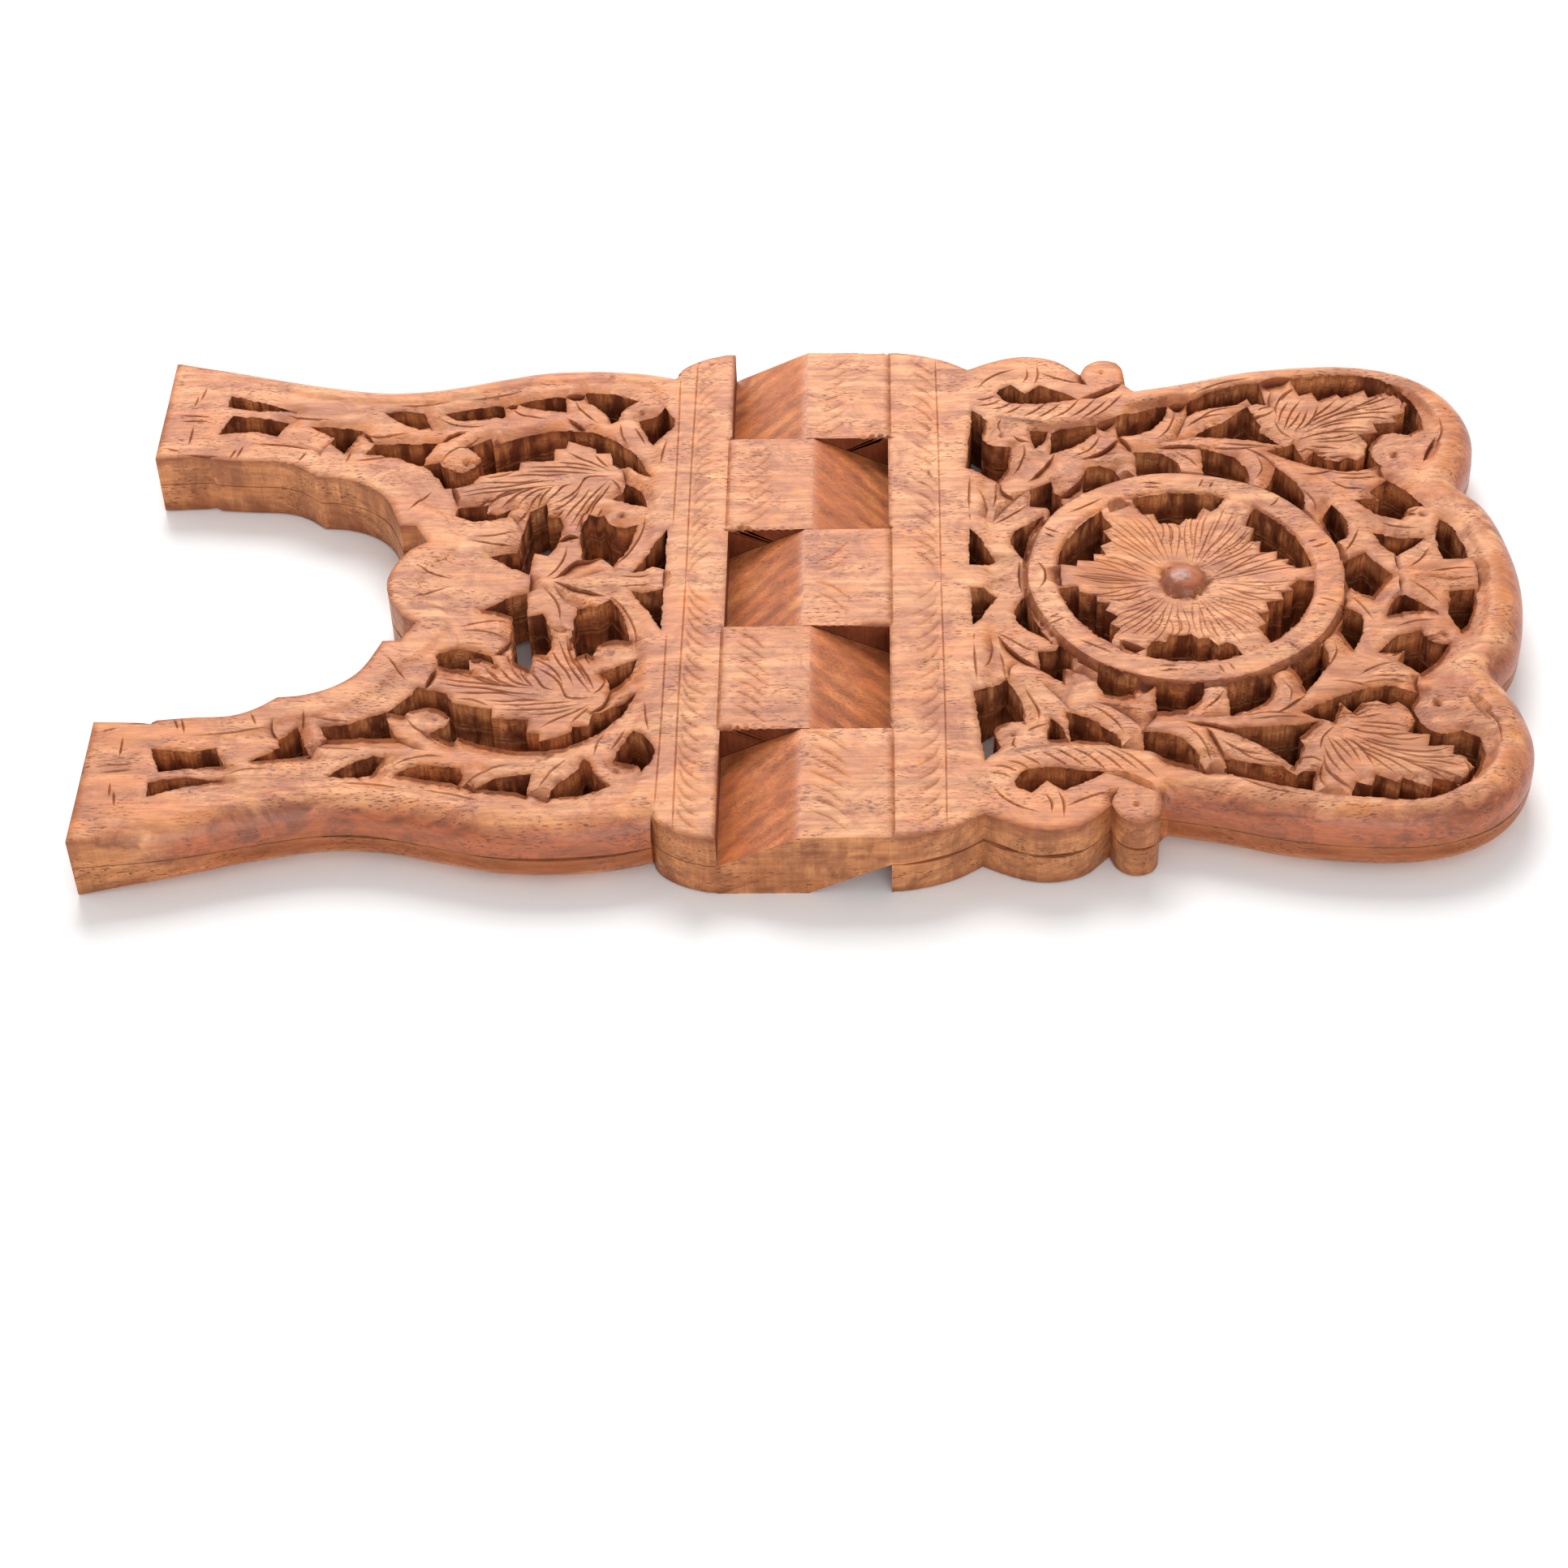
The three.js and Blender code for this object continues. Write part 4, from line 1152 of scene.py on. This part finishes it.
def wood(name, light, warm, grey, dark, figure=0.15, spacing=1.0, wander=7.0, streak=1.0,
         rough=0.5, coat=0.0, specular=0.22, sawn=0.0, pores=1.0, rounded=False):
    """Oiled rosewood. Grain runs along X and the growth layers lie tilted about it."""
    g = Graph(name)
    light, warm, grey, dark = (linear(*c) for c in (light, warm, grey, dark))
    object_place = g.node("ShaderNodeTexCoord").outputs["Object"]
    turned = {"Vector": object_place, "Rotation": (LAYER_TILT, 0, 0)}
    place = g.node("ShaderNodeMapping", turned).outputs[0]
    patches = g.noise(place, (24, 40, 70), 5.0, 0.62, 0.8)
    colour = g.mix(g.span(patches, 0.40, 0.60), light, warm)
    smudge = g.noise(place, (52, 66, 90), 6.0, 0.72, 1.2)
    colour = g.mix(g.span(smudge, 0.43, 0.63, 0.0, 0.85), colour, grey)
    # growth bands, broken and unevenly spaced
    drift = g.noise(place, (6, 14, 14), 2.0, 0.6)
    layers = g.times(g.height(place), RINGS_PER_METRE * spacing)
    phase = g.maths("ADD", layers, g.times(drift, wander))
    rings = g.maths("SINE", g.times(phase, 6.283))
    band = g.times(g.span(rings, -0.6, 0.9), g.span(patches, 0.64, 0.42, 0.15, 1.0))
    colour = g.mix(g.times(band, figure), colour, dark)
    if rounded:
        edge = g.mark("edge")
        upper = g.span(g.height(object_place), *PLY_CHANGE)
        flecks = g.noise(place, (230, 640, 640), 3.0, 0.7)
        colour = with_edge(g, colour, edge, smudge, flecks, upper)
    # streaks, fibres and pores along the grain
    streaks = g.noise(place, (64, 150, 420), 5.0, 0.68)
    fibre = g.noise(place, (60, 900, 1400), 2.0, 0.6)
    shade = g.times(g.span(streaks, 0.3, 0.7, 1 - 0.28 * streak, 1 + 0.24 * streak),
                    g.span(fibre, 0.3, 0.7, 0.86, 1.12))
    colour = g.mix(1.0, colour, g.grey(shade), "MULTIPLY")
    pore = g.noise(place, (520, 2200, 2200), 1.0, 0.4)
    cluster = g.noise(place, (60, 130, 130))
    dash = g.times(g.span(pore, 0.60, 0.65), g.span(cluster, 0.44, 0.58, 0.1, 1.0))
    colour = g.mix(g.times(dash, 0.75 * pores), colour, dark)
    # painted shade in the low parts, on steep faces and round the rims, with oil soaked in there;
    # painted shade in the knife cuts
    low_shade = g.times(g.span(g.mark("sunk"), 0.05, 0.8), g.span(smudge, 0.3, 0.6, 0.45, 0.85))
    colour = g.mix(low_shade, colour, SUNK_BROWN)
    colour = g.mix(g.span(g.mark("cut"), 0.12, 1.0, 0.0, 0.85), colour, CUT_DARK)
    relief = g.maths("SUBTRACT", g.times(fibre, 0.35), g.times(dash, 0.6))
    if sawn:
        if rounded:
            sawn = g.span(edge, 0.05, 0.3, sawn, 0.3 * sawn)
        kerf = g.noise(object_place, (1300, 1300, 70), 3.0, 0.65)
        stain = g.noise(object_place, (170, 170, 60), 3.0, 0.6)
        colour = g.mix(g.times(g.span(kerf, 0.38, 0.66, 0.0, 0.75), sawn), colour, SAWN_DARK)
        colour = g.mix(g.times(g.span(stain, 0.45, 0.60, 0.0, 0.85), sawn), colour, SAWN_DEEP)
        relief = g.maths("ADD", relief, g.times(g.times(kerf, sawn), 1.6))
    sheen = g.span(patches, 0.38, 0.62, 0.15 * coat, coat)
    if rounded:
        sheen = g.maths("ADD", sheen, g.times(g.span(edge, 0.2, 0.6, 0.0, 0.4), upper))
    bump = {"Strength": BUMP_STRENGTH, "Distance": BUMP_METRES, "Height": relief}
    return g.finish(
        Base_Color=colour, Normal=g.node("ShaderNodeBump", bump).outputs[0],
        Roughness=g.span(fibre, 0.3, 0.7, rough + 0.07, rough - 0.05),
        Coat_Weight=sheen, Coat_Roughness=COAT_ROUGH, Coat_IOR=COAT_IOR, Specular_IOR_Level=specular)


# name, then the light, warm, grey and dark wood as display colours
MATERIALS = [
    wood("carved_face", (220, 157, 113), (205, 129, 78), (168, 102, 75), (96, 48, 38),
         figure=0.16, streak=0.8, coat=0.08, rounded=True),
    wood("inner_face", (204, 138, 96), (198, 122, 76), (164, 98, 68), (96, 48, 34),
         figure=0.16, streak=0.6),
    wood("outer_side", (218, 151, 100), (200, 128, 79), (162, 102, 70), (96, 50, 32),
         streak=0.5, rough=0.42, coat=0.08, sawn=0.4, rounded=True),
    wood("sawn_wall", (250, 178, 118), (236, 152, 92), (194, 116, 72), (100, 54, 34),
         streak=0.4, rough=0.72, sawn=1.0),
    wood("slanted_face", (206, 128, 77), (192, 107, 58), (168, 90, 54), (106, 50, 30),
         figure=0.38, spacing=0.6, wander=2.0, rough=0.36, coat=0.12, specular=0.4, pores=0.5),
    wood("polished_boss", (190, 106, 64), (172, 86, 48), (132, 70, 44), (84, 40, 26),
         rough=0.34, coat=0.15, specular=0.5, pores=0.5),
    # the pocket walls are a darker copy of the wood: painted shade between the knuckles
    wood("shaded_pocket_wall", (136, 66, 36), (118, 54, 30), (98, 46, 28), (76, 38, 26),
         streak=0.8, rough=0.6, sawn=0.6),
]

# ---- the two leaves

rest = Half(1)
legs = Half(-1)
leaves = [
    ("carved_three_knuckle_leaf", "three_knuckle_leaf", "upper_rest_leaf", 1, (0, 2, 4)),
    ("carved_two_knuckle_leaf", "two_knuckle_leaf", "lower_rest_leaf", -1, (1, 3)),
]
for name, node, body, up, columns in leaves:
    piece = make_leaf(name, rest, legs, up, columns)
    for material in MATERIALS:
        piece.data.materials.append(material)
    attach(piece, body)
    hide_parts(node)
    print(name, "faces", len(piece.data.polygons), "points", len(piece.data.vertices))

# ---- floor, light, camera

FLOOR_REACH = 4.0
FLOOR_TONE = (0.955, 0.97)
floor_mesh = bpy.data.meshes.new("floor")
floor_corners = [(x * FLOOR_REACH, y * FLOOR_REACH, 0) for x, y in ((-1, -1), (1, -1), (1, 1), (-1, 1))]
floor_mesh.from_pydata(floor_corners, [], [(0, 1, 2, 3)])
floor = placed("floor", floor_mesh)
paper = Graph("pale_floor")
floor_place = paper.node("ShaderNodeTexCoord").outputs["Object"]
tone = paper.span(paper.noise(floor_place, (6, 6, 6)), 0.3, 0.7, *FLOOR_TONE)
floor.data.materials.append(paper.finish(Base_Color=paper.grey(tone), Roughness=0.9))

# (name, place, width, watts), all aimed at the middle of the floor
LIGHTS = [
    ("overhead", (-0.1, 1.0, 1.05), 1.0, 23),
    ("front_fill", (0.5, -2.6, 1.3), 2.1, 26),
    ("left_fill", (-1.5, 0.3, 0.9), 1.0, 1.8),
]
for name, place, width, watts in LIGHTS:
    data = bpy.data.lights.new(name, "AREA")
    data.shape = "SQUARE"
    data.size = width
    data.energy = watts
    light = placed(name, data)
    light.location = place
    light.rotation_euler = (-Vector(place)).to_track_quat("-Z", "Y").to_euler()

WORLD_LEVEL = 0.62
world = bpy.data.worlds.new("studio")
world.use_nodes = True
sky = world.node_tree.nodes["Background"].inputs
sky["Color"].default_value = (1, 1, 1, 1)
sky["Strength"].default_value = WORLD_LEVEL
bpy.context.scene.world = world
bpy.context.scene.view_settings.view_transform = "Standard"

# The camera stands in front of the near side and looks down at the folded stand.
PITCH, YAW, ROLL = math.radians(44.58), math.radians(-2.49), math.radians(2.23)
LENS_MM = 77.3
STAND_MM = (22.6, -729.1, 635.7)
ahead = Vector((math.sin(YAW) * math.cos(PITCH), math.cos(YAW) * math.cos(PITCH), -math.sin(PITCH)))
right = Vector((math.cos(YAW), -math.sin(YAW), 0))
down = ahead.cross(right)
level_x = math.cos(ROLL) * right + math.sin(ROLL) * down
level_y = math.sin(ROLL) * right - math.cos(ROLL) * down
camera_data = bpy.data.cameras.new("camera")
camera_data.lens = LENS_MM
camera_data.sensor_width = 36
camera = placed("camera", camera_data)
turn = Matrix((level_x, level_y, -ahead)).transposed().to_4x4()
stand_point = Vector(HINGE + (0, 0, PLY) + STAND_MM) * MM
camera.matrix_world = Matrix.Translation(stand_point) @ turn
bpy.context.scene.camera = camera
